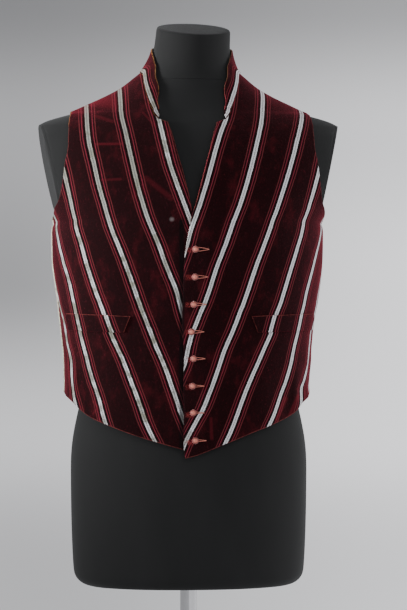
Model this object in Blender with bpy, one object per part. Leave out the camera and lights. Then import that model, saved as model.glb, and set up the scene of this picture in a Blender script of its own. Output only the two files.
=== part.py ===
"""A single-breasted waistcoat of striped silk velvet on a limbless dress form.

Metres, +Z up. The front faces -Y and the wearer's left is at +X. The origin is
the middle of the stand's underside.

A place on the body is a turn and a height. Turn 0 is the centre front, 1 the
wearer's left side, 2 the centre back and 3 (or -1) the wearer's right side.
"""
import bisect
import math
from collections import namedtuple

import bmesh
import bpy
from mathutils import Matrix, Vector

MM = 0.001
SEAM_GAP = 0.35 * MM
LAID_GAP = 0.75 * MM

# The dress form: level sections, all in millimetres. Centre and sway move the
# section's middle to the back and to the wearer's left.
Section = namedtuple("Section", "height half_width front back centre sway power")
FORM_SECTIONS = (
    Section(352, 167.5, 112, 104, 0, 0.0, 2.35),
    Section(391, 169.5, 116, 112, 0, 0.0, 2.35),
    Section(450, 171.0, 119, 118, 0, 0.0, 2.35),
    Section(523, 171.5, 119, 120, 0, 0.0, 2.35),
    Section(577, 161.0, 116, 110, 0, 0.0, 2.3),
    Section(620, 153.0, 113, 98, 0, 0.0, 2.3),
    Section(660, 152.0, 113, 94, 0, 0.0, 2.3),
    Section(720, 160.0, 116, 98, 0, 0.0, 2.3),
    Section(790, 175.0, 121, 108, 0, 0.0, 2.3),
    Section(850, 183.5, 124, 116, 0, 0.0, 2.3),
    Section(872, 203.0, 125, 119, 0, 0.0, 2.3),
    Section(900, 222.0, 124, 122, 0, 0.0, 2.3),
    Section(940, 234.0, 116, 123, 0, 0.0, 2.3),
    Section(966, 232.0, 106, 119, 0, 0.0, 2.25),
    Section(982, 228.0, 98, 113, 0, 0.0, 2.15),
    Section(993, 215.0, 91, 108, 0, 0.0, 2.05),
    Section(1000, 199.0, 86, 103, 0, 0.0, 2.0),
    Section(1005, 176.0, 82, 99, 0, 0.0, 2.0),
    Section(1019, 144.0, 74, 92, 0, 0.2, 2.0),
    Section(1042, 99.5, 64, 79, 0, 0.9, 2.0),
    Section(1058, 79.0, 61, 71, 0, 1.4, 2.0),
    Section(1066, 69.5, 60, 67, 0, 1.7, 2.0),
    Section(1076, 61.0, 59, 62, -1, 2.3, 2.0),
    Section(1090, 56.5, 58, 58, -4, 3.3, 2.0),
    Section(1105, 55.0, 57, 56, -9, 4.4, 2.0),
    Section(1160, 52.0, 55, 54, -26, 7.5, 2.0),
)
FORM_BOTTOM = 330
BOTTOM_ROUND = 22
NECK_SEAM = 1053.5
NECK_TOP = 1131
NECK_TOP_LEAN = math.radians(16)
NECK_TOP_TILT = math.radians(2)
NECK_EDGE_ROUND = 4 * MM
ARM_PLATE_THICK = 3.5 * MM
ARM_CUT_X = 215.5 * MM
ARM_CUT_HEIGHT = 985 * MM
ARM_CUT_SLOPE = 0.2035
ARM_CUT_TURN = 0.08
ARM_CUT_BOTTOM = 850 * MM
FORM_STEPS = 40

# The stand.
POLE_RADIUS = 12.5 * MM
BASE_RADIUS = 165 * MM
BASE_THICK = 8 * MM
BASE_EDGE = 2.5 * MM

# The waistcoat's ease over the form, to the inside of its cloth, and how far
# it hangs towards the wearer's left.
Ease = namedtuple("Ease", "height front side back sway")
EASE_ROWS = (
    Ease(515, 9.0, 22.0, 14.0, -3.5),
    Ease(603, 9.0, 22.0, 14.0, -3.6),
    Ease(630, 8.5, 24.0, 13.5, -3.2),
    Ease(655, 8.0, 26.0, 13.0, -2.4),
    Ease(681, 7.5, 26.3, 12.5, -2.8),
    Ease(697, 7.0, 25.5, 12.0, -3.0),
    Ease(719, 6.5, 24.2, 11.0, -2.9),
    Ease(735, 5.8, 23.7, 10.0, -2.1),
    Ease(767, 4.8, 21.0, 8.0, -1.8),
    Ease(805, 3.5, 17.7, 5.0, -2.3),
    Ease(830, 3.0, 15.3, 3.5, -2.3),
    Ease(842, 2.7, 13.4, 3.0, -2.4),
    Ease(855, 2.4, 8.0, 2.4, -2.0),
    Ease(880, 1.8, 1.6, 1.8, -0.5),
    Ease(920, 1.4, 1.2, 1.6, 0.0),
    Ease(978, 1.8, 1.8, 5.2, 0.0),
    Ease(1008, 1.8, 1.8, 5.2, 0.0),
    Ease(1030, 1.1, 1.1, 1.3, 0.0),
    Ease(1160, 1.1, 1.1, 1.1, 0.0),
)

# The largest soft folds, out from the cloth or into it. Lean is the turn that
# a fold moves by over 100 mm of height.
Fold = namedtuple("Fold", "turn height lean half_turn half_height out")
FOLDS = (
    Fold(0.72, 596, -0.02, 0.10, 42, 3.2),
    Fold(0.54, 590, -0.03, 0.09, 40, -2.4),
    Fold(-0.74, 604, 0.02, 0.10, 48, 2.6),
    Fold(-0.56, 585, 0.02, 0.09, 40, -2.0),
    Fold(1.45, 668, 0.03, 0.12, 90, -4.5),
    Fold(1.80, 632, 0.01, 0.10, 70, 2.2),
    Fold(2.16, 620, 0.00, 0.11, 62, -2.6),
    Fold(2.50, 676, -0.02, 0.13, 104, -4.5),
)
VELVET_WALL = 2.0 * MM
COTTON_WALL = 1.4 * MM

# Edges of a front, across from the centre towards its own side, and height.
Edge = namedtuple("Edge", "across height")
FRONT_EDGE = (
    Edge(-10.8, 537),
    Edge(-10, 590),
    Edge(-11.2, 633),
    Edge(-10.6, 663),
    Edge(-12.3, 697),
    Edge(-12.8, 741),
    Edge(-11.6, 780),
    Edge(-8.7, 812),
    Edge(-2, 845),
)
NECKLINE = (
    Edge(-2, 845),
    Edge(-0.5, 858),
    Edge(3.0, 872),
    Edge(9.5, 898),
    Edge(17, 926),
    Edge(24.5, 953),
    Edge(29.5, 972),
    Edge(34.5, 987),
)
NOTCH = (
    Edge(34.5, 987),
    Edge(47.6, 992),
)
NECK_SEAM_FRONT = (
    Edge(47.6, 992),
    Edge(55, 1006),
    Edge(62.3, 1025),
    Edge(67.6, 1045),
    Edge(70.2, 1060),
)

# The under front's hem ends a little higher at the centre than the over one's.
FRONT_TIP = {"left": Edge(-8, 519), "right": Edge(-8, 527)}
HEM_NEAR_TIP = {
    "left": (Edge(0, 521), Edge(40, 535)),
    "right": (Edge(0, 528.5), Edge(40, 538.5)),
}
HEM_FRONT = (
    Edge(82, 550.5),
    Edge(113, 561),
    Edge(141, 572.5),
    Edge(157, 583),
    Edge(168, 592),
)
SIDE_HEM = 603
BACK_HEM = 598
UNDERARM = 857
ARMHOLE_FRONT = (
    Edge(193, 871),
    Edge(186, 886),
    Edge(182, 909),
    Edge(177, 941),
    Edge(174.5, 962),
    Edge(174, 982),
    Edge(173, 995),
    Edge(172, 1001),
)
ARMHOLE_BACK = (
    Edge(190, 871),
    Edge(180, 892),
    Edge(173, 920),
    Edge(168, 950),
    Edge(167, 976),
    Edge(167, 992),
    Edge(168, 1000),
)

# Places on top of the shoulder are given by turn and distance across.
Crest = namedtuple("Crest", "turn across")
ARMHOLE_TOP_FRONT = (Crest(0.85, 170), Crest(1.0, 170.5))
ARMHOLE_TOP_BACK = (Crest(1.22, 169),)
SHOULDER_SEAM_TURN = 1.12
SHOULDER_ACROSS = 170.5
NECK_POINT_ACROSS = 70
BACK_NECK_HEIGHT = 1068
SIDE_SEAM_TURN = {"left": 0.97, "right": 0.915}

# The wearer's left front laps over the right one, and its neckline stands off.
LAP_LIFT = VELVET_WALL + 0.6 * MM
LAP_FLAT = 18
LAP_BLEND = 46
NECKLINE_LIFT = {"left": 4.0 * MM, "right": 2.0 * MM}
NECKLINE_LIFT_REACH = 32

# The stand collar's top edge, one row for each rib from the front end to the
# centre back. Each rib rises from the neck seam at the same place in its table.
Top = namedtuple("Top", "turn height stand_off")
COLLAR_TOPS = (
    Top(0.138, 996.5, 3.6),
    Top(0.203, 1016, 3.7),
    Top(0.295, 1041, 4.0),
    Top(0.530, 1070, 3.5),
    Top(0.660, 1081, 2.8),
    Top(0.760, 1089, 2.2),
    Top(1.000, 1101, 1.8),
    Top(1.500, 1108, 1.6),
    Top(2.000, 1110, 1.6),
)
COLLAR_HOLLOW = 1.45
COLLAR_CLEAR = 0.9 * MM
COLLAR_SPAN_STEPS = 3
COLLAR_UP_STEPS = 3

# Pocket welts: inner end's top and bottom corners, outer end's corners.
WELT_CORNERS = {
    "left": (Edge(84, 717.5), Edge(93, 694.5), Edge(178, 724.5), Edge(177, 701)),
    "right": (Edge(84, 717.5), Edge(93, 694.5), Edge(173, 724.5), Edge(172, 701)),
}
WELT_WALL = 1.6 * MM

BUTTON_TOP = 809.8
BUTTON_SPACING = 38.1
BUTTON_ACROSS = (2.5, 1.8, 0.3, -2.9, -0.1, -1.6, -0.8, 2.1)
BUTTON_RADIUS = 4.8 * MM
BUTTON_RIM = 1.5 * MM
BUTTON_DOME = 3.6 * MM
BUTTON_GAP = 0.55 * MM

# Grid divisions of the cloth pieces.
ACROSS_STEPS = 14
EDGE_STEPS = 10
NECKLINE_STEPS = 8
NOTCH_STEPS = 1
NECK_SEAM_STEPS = 10
ARMHOLE_STEPS = NECKLINE_STEPS + NOTCH_STEPS + NECK_SEAM_STEPS
BACK_SHOULDER_STEPS = 7
BACK_NECK_STEPS = 10


def smooth_value(rows, name, at):
    """Read one column of a table between its rows, without overshoot."""
    keys = [row[0] for row in rows]
    index = min(max(bisect.bisect_right(keys, at) - 1, 0), len(rows) - 2)
    values = [getattr(row, name) for row in rows]

    def rise(k):
        return (values[k + 1] - values[k]) / (keys[k + 1] - keys[k])

    def slope(k):
        if k == 0:
            return rise(0)
        if k == len(rows) - 1:
            return rise(k - 1)
        before, after = rise(k - 1), rise(k)
        if before * after <= 0:
            return 0.0
        return 2 * before * after / (before + after)

    span = keys[index + 1] - keys[index]
    t = min(max((at - keys[index]) / span, 0.0), 1.0)
    start, end = values[index], values[index + 1]
    return (
        start * (2 * t**3 - 3 * t**2 + 1)
        + span * slope(index) * (t**3 - 2 * t**2 + t)
        + end * (3 * t**2 - 2 * t**3)
        + span * slope(index + 1) * (t**3 - t**2)
    )


def smoothstep(low, high, value):
    t = min(max((value - low) / (high - low), 0.0), 1.0)
    return t * t * (3 - 2 * t)


def signed_power(value, power):
    return math.copysign(abs(value) ** power, value)


def ring_point(turn, height):
    """A point of the form's surface, height in millimetres."""
    section = {name: smooth_value(FORM_SECTIONS, name, height) for name in Section._fields[1:]}
    angle = turn * math.pi / 2
    power = 2 / section["power"]
    x = section["half_width"] * signed_power(math.sin(angle), power)
    depth = section["front"] if math.cos(angle) > 0 else section["back"]
    y = -depth * signed_power(math.cos(angle), power)
    return Vector((x + section["sway"], y + section["centre"], height)) * MM


def ring_normal(turn, height):
    around = ring_point(turn + 0.01, height) - ring_point(turn - 0.01, height)
    upward = ring_point(turn, height + 0.6) - ring_point(turn, height - 0.6)
    return around.cross(upward).normalized()


def ease_at(turn, height):
    angle = turn * math.pi / 2
    middle = "front" if math.cos(angle) > 0 else "back"
    side = math.sin(angle) ** 2
    return MM * (
        smooth_value(EASE_ROWS, "side", height) * side
        + smooth_value(EASE_ROWS, middle, height) * (1 - side)
    )


def edge_across(height):
    """How far across a front's edge or neckline lies at this height."""
    rows = [Edge(edge.height, edge.across) for edge in FRONT_EDGE + NECKLINE[1:]]
    return smooth_value(rows, "height", height)


def front_lift(turn, height, side):
    """What a front is raised by at its lap and along its neckline."""
    across = abs_across(turn, height) * (1 if side == "left" else -1)
    lift = NECKLINE_LIFT[side]
    lift *= smoothstep(850, 900, height) * (1 - smoothstep(960, 1000, height))
    lift *= 1 - smoothstep(0, NECKLINE_LIFT_REACH, across - edge_across(height))
    if side == "left":
        below = 1 - smoothstep(872, 905, height)
        lift += LAP_LIFT * below * (1 - smoothstep(LAP_FLAT, LAP_BLEND, across))
    return lift


def abs_across(turn, height):
    return ring_point(turn, height).x / MM


def fold_out(turn, height):
    total = 0.0
    for fold in FOLDS:
        apart = turn - fold.turn - fold.lean * (height - fold.height) / 100
        apart = (apart + 2) % 4 - 2
        level = (height - fold.height) / fold.half_height
        total += fold.out * math.exp(-((apart / fold.half_turn) ** 2) - level**2)
    return total * MM


def cloth_point(turn, height, out, side=None):
    """A point over the form, out of the cloth's inner face."""
    offset = ease_at(turn, height) + fold_out(turn, height) + out
    if side:
        offset += front_lift(turn, height, side)
    point = ring_point(turn, height) + ring_normal(turn, height) * offset
    point.x += smooth_value(EASE_ROWS, "sway", height) * MM
    return point


def turn_at(across, height):
    """The turn at which the cloth's outer face lies this far across."""
    hang = smooth_value(EASE_ROWS, "sway", height) * MM
    low, high = 0.0, 1.0
    for _ in range(24):
        middle = (low + high) / 2
        if (cloth_point(middle, height, VELVET_WALL).x - hang) / MM < abs(across):
            low = middle
        else:
            high = middle
    return math.copysign(low, across)


def crest_height(turn, across):
    """The height at which a shoulder's top is this far across."""
    low, high = 1000.0, 1072.0
    for _ in range(40):
        middle = (low + high) / 2
        if ring_point(turn, middle).x / MM > across:
            low = middle
        else:
            high = middle
    return low


def place(row):
    """Turn and height of a row of either kind."""
    if isinstance(row, Crest):
        return (row.turn, crest_height(row.turn, row.across))
    return (turn_at(row.across, row.height), row.height)


def through(places, per_span=12):
    """A smooth line through places, as closely spaced places."""
    line = []
    for index in range(len(places) - 1):
        near = [places[max(min(index + k, len(places) - 1), 0)] for k in (-1, 0, 1, 2)]
        for step in range(per_span):
            t = step / per_span
            line.append(tuple(
                0.5 * (
                    2 * near[1][axis]
                    + (near[2][axis] - near[0][axis]) * t
                    + (2 * near[0][axis] - 5 * near[1][axis] + 4 * near[2][axis] - near[3][axis]) * t**2
                    + (3 * near[1][axis] - near[0][axis] - 3 * near[2][axis] + near[3][axis]) * t**3
                )
                for axis in (0, 1)
            ))
    line.append(places[-1])
    return line


def spread(line, steps):
    """Places at equal distances along a line."""
    points = [ring_point(*each) for each in line]
    run = [0.0]
    for before, after in zip(points, points[1:]):
        run.append(run[-1] + (after - before).length)
    spaced = []
    for step in range(steps + 1):
        want = run[-1] * step / steps
        index = min(max(bisect.bisect_right(run, want) - 1, 0), len(run) - 2)
        t = (want - run[index]) / max(run[index + 1] - run[index], 1e-9)
        a, b = line[index], line[index + 1]
        spaced.append((a[0] + (b[0] - a[0]) * t, a[1] + (b[1] - a[1]) * t))
    return spaced


def curve(rows, steps):
    return spread(through([place(row) for row in rows]), steps)


def shift_turns(places, gap):
    """Move places round the body by a gap in metres."""
    moved = []
    for turn, height in places:
        per_turn = (ring_point(turn + 0.01, height) - ring_point(turn - 0.01, height)).length / 0.02
        moved.append((turn + gap / per_turn, height))
    return moved


def chain(*parts):
    line = list(parts[0])
    for part in parts[1:]:
        line += part[1:]
    return line


def fill(left, right, bottom, top):
    """A grid of places between four edges."""
    rows, columns = len(left) - 1, len(bottom) - 1
    grid = []
    for i in range(rows + 1):
        v = i / rows
        line = []
        for j in range(columns + 1):
            u = j / columns
            line.append(tuple(
                (1 - v) * bottom[j][k] + v * top[j][k] + (1 - u) * left[i][k] + u * right[i][k]
                - (1 - u) * (1 - v) * bottom[0][k] - u * (1 - v) * bottom[-1][k]
                - (1 - u) * v * top[0][k] - u * v * top[-1][k]
                for k in (0, 1)
            ))
        grid.append(line)
    return grid


def front_places(side):
    """The grid of a front, as if it were the wearer's left one."""
    seam = SIDE_SEAM_TURN[side]
    side_seam = [(seam, SIDE_HEM), (seam, UNDERARM)]
    underarm = (seam, UNDERARM)
    shoulder = Crest(SHOULDER_SEAM_TURN, SHOULDER_ACROSS)
    neck_point = Crest(SHOULDER_SEAM_TURN, NECK_POINT_ACROSS)
    neck_side = Crest(1.0, NECK_POINT_ACROSS + 0.8)
    armhole = [underarm] + [place(row) for row in ARMHOLE_FRONT + ARMHOLE_TOP_FRONT + (shoulder,)]
    left = chain(
        curve((FRONT_TIP[side],) + FRONT_EDGE, EDGE_STEPS),
        curve(NECKLINE, NECKLINE_STEPS),
        curve(NOTCH, NOTCH_STEPS),
        curve(NECK_SEAM_FRONT + (neck_side, neck_point), NECK_SEAM_STEPS),
    )
    right = chain(
        spread(through(side_seam), EDGE_STEPS),
        spread(through(armhole), ARMHOLE_STEPS),
    )
    right = shift_turns(right, -SEAM_GAP / 2)
    hem = [place(row) for row in (FRONT_TIP[side],) + HEM_NEAR_TIP[side] + HEM_FRONT] + [right[0]]
    bottom = spread(through(hem), ACROSS_STEPS)
    seam_line = [
        place(Crest(SHOULDER_SEAM_TURN, NECK_POINT_ACROSS + (SHOULDER_ACROSS - NECK_POINT_ACROSS) * t / 20))
        for t in range(21)
    ]
    top = shift_turns(spread(seam_line, ACROSS_STEPS), -SEAM_GAP / 2)
    left[-1] = top[0]
    right[-1] = top[-1]
    return fill(left, right, bottom, top)


def rolled_out(places):
    """Turns and heights as distances from the centre back and heights."""
    return [((2 - turn) * back_girth(height), height) for turn, height in places]


def back_girth(height):
    return smooth_value(FORM_SECTIONS, "half_width", height) + smooth_value(FORM_SECTIONS, "back", height)


def back_places():
    """The grid of the back, from the wearer's left side round to the right."""
    halves = {}
    for side in ("left", "right"):
        seam = SIDE_SEAM_TURN[side]
        shoulder = Crest(SHOULDER_SEAM_TURN, SHOULDER_ACROSS)
        armhole = [(seam, UNDERARM)]
        armhole += [(2 - turn_at(*row), row.height) for row in ARMHOLE_BACK]
        armhole += [place(row) for row in ARMHOLE_TOP_BACK + (shoulder,)]
        line = chain(
            spread(through([(seam, SIDE_HEM), (seam, UNDERARM)]), EDGE_STEPS),
            spread(through(armhole), ARMHOLE_STEPS),
        )
        halves[side] = shift_turns(line, SEAM_GAP / 2)
    seam_line = [
        place(Crest(SHOULDER_SEAM_TURN, NECK_POINT_ACROSS + (SHOULDER_ACROSS - NECK_POINT_ACROSS) * t / 20))
        for t in range(20, -1, -1)
    ]
    shoulder = shift_turns(spread(seam_line, BACK_SHOULDER_STEPS), SEAM_GAP / 2)
    neck = spread(through(back_neck_line()), BACK_NECK_STEPS)
    top = chain(shoulder, neck, [mirror_place(each) for each in reversed(shoulder)])
    left = halves["left"]
    right = [mirror_place(each) for each in halves["right"]]
    top[0], top[-1] = left[-1], right[-1]
    hem = [left[0], (2.0, BACK_HEM), right[0]]
    bottom = spread(through(hem, 30), len(top) - 1)
    flat = fill(*(rolled_out(line) for line in (left, right, bottom, top)))
    return [[(2 - aside / back_girth(height), height) for aside, height in row] for row in flat]


def back_neck_line():
    start = place(Crest(SHOULDER_SEAM_TURN, NECK_POINT_ACROSS))
    side = (1.5, (start[1] + BACK_NECK_HEIGHT) / 2)
    return [start, side, (2.0, BACK_NECK_HEIGHT), mirror_place(side), mirror_place(start)]


def mirror_place(each):
    return (4 - each[0], each[1])


def new_object(name, mesh_data, material):
    mesh = bpy.data.meshes.new(name)
    mesh_data.to_mesh(mesh)
    mesh_data.free()
    mesh.shade_smooth()
    mesh.set_sharp_from_angle(angle=math.radians(40))
    mesh.materials.append(material)
    item = bpy.data.objects.new(name, mesh)
    bpy.context.scene.collection.objects.link(item)
    return item


def make_material(name, colour, roughness, metallic=0.0):
    material = bpy.data.materials.new(name)
    material.use_nodes = True
    shader = material.node_tree.nodes["Principled BSDF"]
    shader.inputs["Base Color"].default_value = (*colour, 1.0)
    shader.inputs["Roughness"].default_value = roughness
    shader.inputs["Metallic"].default_value = metallic
    return material


def close_wall(inner, outer):
    """A closed wall between two grids of points with the same layout."""
    mesh = bmesh.new()
    sheets = []
    for grid in (inner, outer):
        sheets.append([[mesh.verts.new(point) for point in row] for row in grid])
    rows, columns = len(inner) - 1, len(inner[0]) - 1
    for i in range(rows):
        for j in range(columns):
            for sheet, flip in ((sheets[0], True), (sheets[1], False)):
                corners = [sheet[i][j], sheet[i][j + 1], sheet[i + 1][j + 1], sheet[i + 1][j]]
                mesh.faces.new(corners[::-1] if flip else corners)
    rim = [(0, j) for j in range(columns)] + [(i, columns) for i in range(rows)]
    rim += [(rows, j) for j in range(columns, 0, -1)] + [(i, 0) for i in range(rows, 0, -1)]
    for (i, j), (k, m) in zip(rim, rim[1:] + rim[:1]):
        mesh.faces.new([sheets[0][i][j], sheets[0][k][m], sheets[1][k][m], sheets[1][i][j]])
    bmesh.ops.recalc_face_normals(mesh, faces=mesh.faces)
    bmesh.ops.triangulate(mesh, faces=mesh.faces)
    return mesh


def cloth_panel(name, places, wall, material, side=None):
    grids = []
    for out in (0.0, wall):
        grids.append([[cloth_point(*each, out, side) for each in row] for row in places])
    return new_object(name, close_wall(*grids), material)


def make_fronts(material):
    cloth_panel("front_left", front_places("left"), VELVET_WALL, material, "left")
    right = [[(-turn, height) for turn, height in row] for row in front_places("right")]
    cloth_panel("front_right", right, VELVET_WALL, material, "right")


def neck_seam_places():
    """The neck seam's own places, from the front end to the centre back."""
    side = Crest(1.0, NECK_POINT_ACROSS + 0.8)
    return [place(row) for row in NECK_SEAM_FRONT + (side,)] + back_neck_line()[:3]


def clear_of_form(point, gap):
    """Move a point level outwards until it is this far from the form."""
    height = point.z / MM
    section = {name: smooth_value(FORM_SECTIONS, name, height) for name in Section._fields[1:]}
    middle = Vector((section["sway"], section["centre"], height)) * MM
    depth = section["front"] if point.y < middle.y else section["back"]
    away = point - middle
    power = section["power"]
    size = abs(away.x / MM / section["half_width"]) ** power + abs(away.y / MM / depth) ** power
    surface = away * size ** (-1 / power)
    if away.length > surface.length + gap:
        return point
    return middle + surface * (1 + gap / surface.length)


def collar_grid():
    """Points of the collar's inner face."""
    seam = neck_seam_places()
    tops = [(row.turn, row.height) for row in COLLAR_TOPS]
    offs = [(0.0, row.stand_off) for row in COLLAR_TOPS]
    seam += [mirror_place(each) for each in reversed(seam[:-1])]
    tops += [mirror_place(each) for each in reversed(tops[:-1])]
    offs += offs[-2::-1]
    ribs = zip(*(through(line, COLLAR_SPAN_STEPS) for line in (seam, tops, offs)))
    seat = VELVET_WALL + SEAM_GAP
    columns = []
    for base, top, (_, stand_off) in ribs:
        low = ring_point(*base) + ring_normal(*base) * (ease_at(*base) + seat)
        high = ring_point(*top) + ring_normal(*top) * stand_off * MM
        column = []
        for step in range(COLLAR_UP_STEPS + 1):
            up = step / COLLAR_UP_STEPS
            point = low.lerp(high, 1 - (1 - up) ** COLLAR_HOLLOW)
            point.z = low.z + (high.z - low.z) * up
            column.append(clear_of_form(point, COLLAR_CLEAR))
        columns.append(column)
    return [list(row) for row in zip(*columns)]


def grid_normals(grid):
    rows, columns = len(grid) - 1, len(grid[0]) - 1
    normals = []
    for i in range(rows + 1):
        line = []
        for j in range(columns + 1):
            around = grid[i][min(j + 1, columns)] - grid[i][max(j - 1, 0)]
            upward = grid[min(i + 1, rows)][j] - grid[max(i - 1, 0)][j]
            line.append(around.cross(upward).normalized())
        normals.append(line)
    return normals


def make_collar(material):
    inner = collar_grid()
    normals = grid_normals(inner)
    outer = [
        [point + normal * VELVET_WALL for point, normal in zip(*rows)]
        for rows in zip(inner, normals)
    ]
    new_object("collar", close_wall(inner, outer), material)


def welt_places(side):
    corners = [place(row) for row in WELT_CORNERS[side]]
    inner_top, inner_low, outer_top, outer_low = corners
    columns = 12
    top = spread(through([inner_top, outer_top], 30), columns)
    bottom = spread(through([inner_low, outer_low], 30), columns)
    rows = 2
    return [
        [
            tuple(low[k] + (high[k] - low[k]) * i / rows for k in (0, 1))
            for low, high in zip(bottom, top)
        ]
        for i in range(rows + 1)
    ]


def make_welts(material):
    for side, sign in (("left", 1), ("right", -1)):
        places = [[(sign * turn, height) for turn, height in row] for row in welt_places(side)]
        grids = []
        for out in (VELVET_WALL + LAID_GAP, VELVET_WALL + LAID_GAP + WELT_WALL):
            grids.append([[cloth_point(*each, out, side) for each in row] for row in places])
        new_object("welt_" + side, close_wall(*grids), material)


def lathe(profile, steps):
    """A closed turned solid from radius and height pairs, bottom to top."""
    mesh = bmesh.new()
    rings = []
    for radius, height in profile:
        if radius < 1e-6:
            rings.append([mesh.verts.new((0, 0, height))])
            continue
        rings.append([
            mesh.verts.new((
                radius * math.cos(2 * math.pi * k / steps),
                radius * math.sin(2 * math.pi * k / steps),
                height,
            ))
            for k in range(steps)
        ])
    for low, high in zip(rings, rings[1:]):
        for k in range(steps):
            after = (k + 1) % steps
            if len(low) == 1:
                mesh.faces.new([low[0], high[after], high[k]])
            elif len(high) == 1:
                mesh.faces.new([low[k], low[after], high[0]])
            else:
                mesh.faces.new([low[k], low[after], high[after], high[k]])
    bmesh.ops.recalc_face_normals(mesh, faces=mesh.faces)
    return mesh


def button_profile():
    profile = [(0.0, 0.0), (BUTTON_RADIUS * 0.86, 0.0), (BUTTON_RADIUS, BUTTON_RIM * 0.5)]
    for step in range(5):
        angle = step / 4 * math.pi / 2
        profile.append((BUTTON_RADIUS * math.cos(angle), BUTTON_RIM + BUTTON_DOME * math.sin(angle)))
    profile[-1] = (0.0, profile[-1][1])
    return profile


def make_buttons(material):
    for index, across in enumerate(BUTTON_ACROSS):
        height = BUTTON_TOP - index * BUTTON_SPACING
        turn = turn_at(across - smooth_value(EASE_ROWS, "sway", height), height)
        seat = cloth_point(turn, height, VELVET_WALL + BUTTON_GAP, "left")
        above = cloth_point(turn, height + 3, VELVET_WALL, "left")
        below = cloth_point(turn, height - 3, VELVET_WALL, "left")
        outward = Vector((1, 0, 0)).cross(above - below).normalized()
        item = new_object(f"button_{index + 1}", lathe(button_profile(), 10), material)
        item.location = seat
        item.rotation_euler = outward.to_track_quat("Z", "Y").to_euler()


def form_levels():
    """Heights of the torso's rings, and how far each is drawn in at the bottom."""
    levels = []
    for step in range(5):
        angle = step / 4 * math.pi / 2
        height = FORM_BOTTOM + BOTTOM_ROUND * (1 - math.cos(angle))
        levels.append((height, BOTTOM_ROUND * (1 - math.sin(angle))))
    heights = list(range(385, 850, 33)) + list(range(860, 990, 16))
    heights += [990, 997, 1002, 1007, 1014, 1021, 1029, 1037, 1045, NECK_SEAM]
    return levels + [(height, 0.0) for height in heights]


def ring_stack(levels, steps):
    """A closed solid through the form's rings."""
    mesh = bmesh.new()
    rings = []
    for height, drawn_in in levels:
        ring = []
        for k in range(steps):
            turn = 4 * k / steps
            point = ring_point(turn, max(height, FORM_SECTIONS[0].height))
            normal = ring_normal(turn, max(height, FORM_SECTIONS[0].height + 1))
            normal.z = 0
            point -= normal.normalized() * drawn_in * MM
            point.z = height * MM
            ring.append(mesh.verts.new(point))
        rings.append(ring)
    for low, high in zip(rings, rings[1:]):
        for k in range(steps):
            after = (k + 1) % steps
            mesh.faces.new([low[k], low[after], high[after], high[k]])
    mesh.faces.new(rings[0][::-1])
    mesh.faces.new(rings[-1])
    bmesh.ops.recalc_face_normals(mesh, faces=mesh.faces)
    return mesh


def cut(mesh, point, normal, applies=lambda place: True):
    """Remove what lies beyond a plane, and close the cut with a flat face."""
    faces = [face for face in mesh.faces if applies(face.calc_center_median())]
    edges = {edge for face in faces for edge in face.edges}
    verts = {vert for face in faces for vert in face.verts}
    everything = list(verts) + list(edges) + faces
    made = bmesh.ops.bisect_plane(
        mesh, geom=everything, plane_co=point, plane_no=normal, clear_outer=True
    )
    edges = [item for item in made["geom_cut"] if isinstance(item, bmesh.types.BMEdge)]
    bmesh.ops.edgeloop_fill(mesh, edges=edges)


def arm_normal(sign):
    return Vector((sign, -ARM_CUT_TURN, -ARM_CUT_SLOPE)).normalized()


def near_arm(sign):
    """A test for what belongs to one shoulder."""
    return lambda spot: spot.z > ARM_CUT_BOTTOM and spot.x * sign > 0


def make_torso(material):
    mesh = ring_stack(form_levels(), FORM_STEPS)
    for sign in (1, -1):
        normal = arm_normal(sign)
        point = Vector((sign * ARM_CUT_X, 0, ARM_CUT_HEIGHT))
        shoulder = near_arm(sign)
        cut(mesh, point - normal * (ARM_PLATE_THICK + 0.3 * MM), normal, shoulder)
    bmesh.ops.recalc_face_normals(mesh, faces=mesh.faces)
    bmesh.ops.triangulate(mesh, faces=mesh.faces)
    new_object("form_torso", mesh, material)


def make_arm_plates(material):
    """Flat oval plates that close the shoulders where the arms would start."""
    for name, sign in (("form_arm_plate_left", 1), ("form_arm_plate_right", -1)):
        mesh = ring_stack(form_levels(), FORM_STEPS)
        normal = arm_normal(sign)
        point = Vector((sign * ARM_CUT_X, 0, ARM_CUT_HEIGHT))
        cut(mesh, Vector((0, 0, ARM_CUT_BOTTOM)), Vector((0, 0, -1)))
        cut(mesh, point, normal)
        cut(mesh, point - normal * ARM_PLATE_THICK, -normal)
        bmesh.ops.recalc_face_normals(mesh, faces=mesh.faces)
        bmesh.ops.triangulate(mesh, faces=mesh.faces)
        new_object(name, mesh, material)


def make_neck(material):
    """The neck block above the seam, its top leaning forward."""
    heights = [NECK_SEAM + 0.3, 1059, 1066, 1073, 1080, 1090, 1105, 1125, 1160]
    mesh = ring_stack([(height, 0.0) for height in heights], FORM_STEPS)
    lean = Matrix.Rotation(NECK_TOP_LEAN, 3, "X") @ Matrix.Rotation(NECK_TOP_TILT, 3, "Y")
    axis = ring_point(1, NECK_TOP)
    axis.x = smooth_value(FORM_SECTIONS, "sway", NECK_TOP) * MM
    normal = lean @ Vector((0, 0, 1))
    cut(mesh, axis, normal)
    rim = [
        edge for edge in mesh.edges
        if all(abs((vert.co - axis).dot(normal)) < 1e-6 for vert in edge.verts)
    ]
    bmesh.ops.bevel(
        mesh, geom=rim, offset=NECK_EDGE_ROUND, segments=2, profile=0.5, affect="EDGES"
    )
    bmesh.ops.recalc_face_normals(mesh, faces=mesh.faces)
    bmesh.ops.triangulate(mesh, faces=mesh.faces)
    new_object("form_neck", mesh, material)


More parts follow.
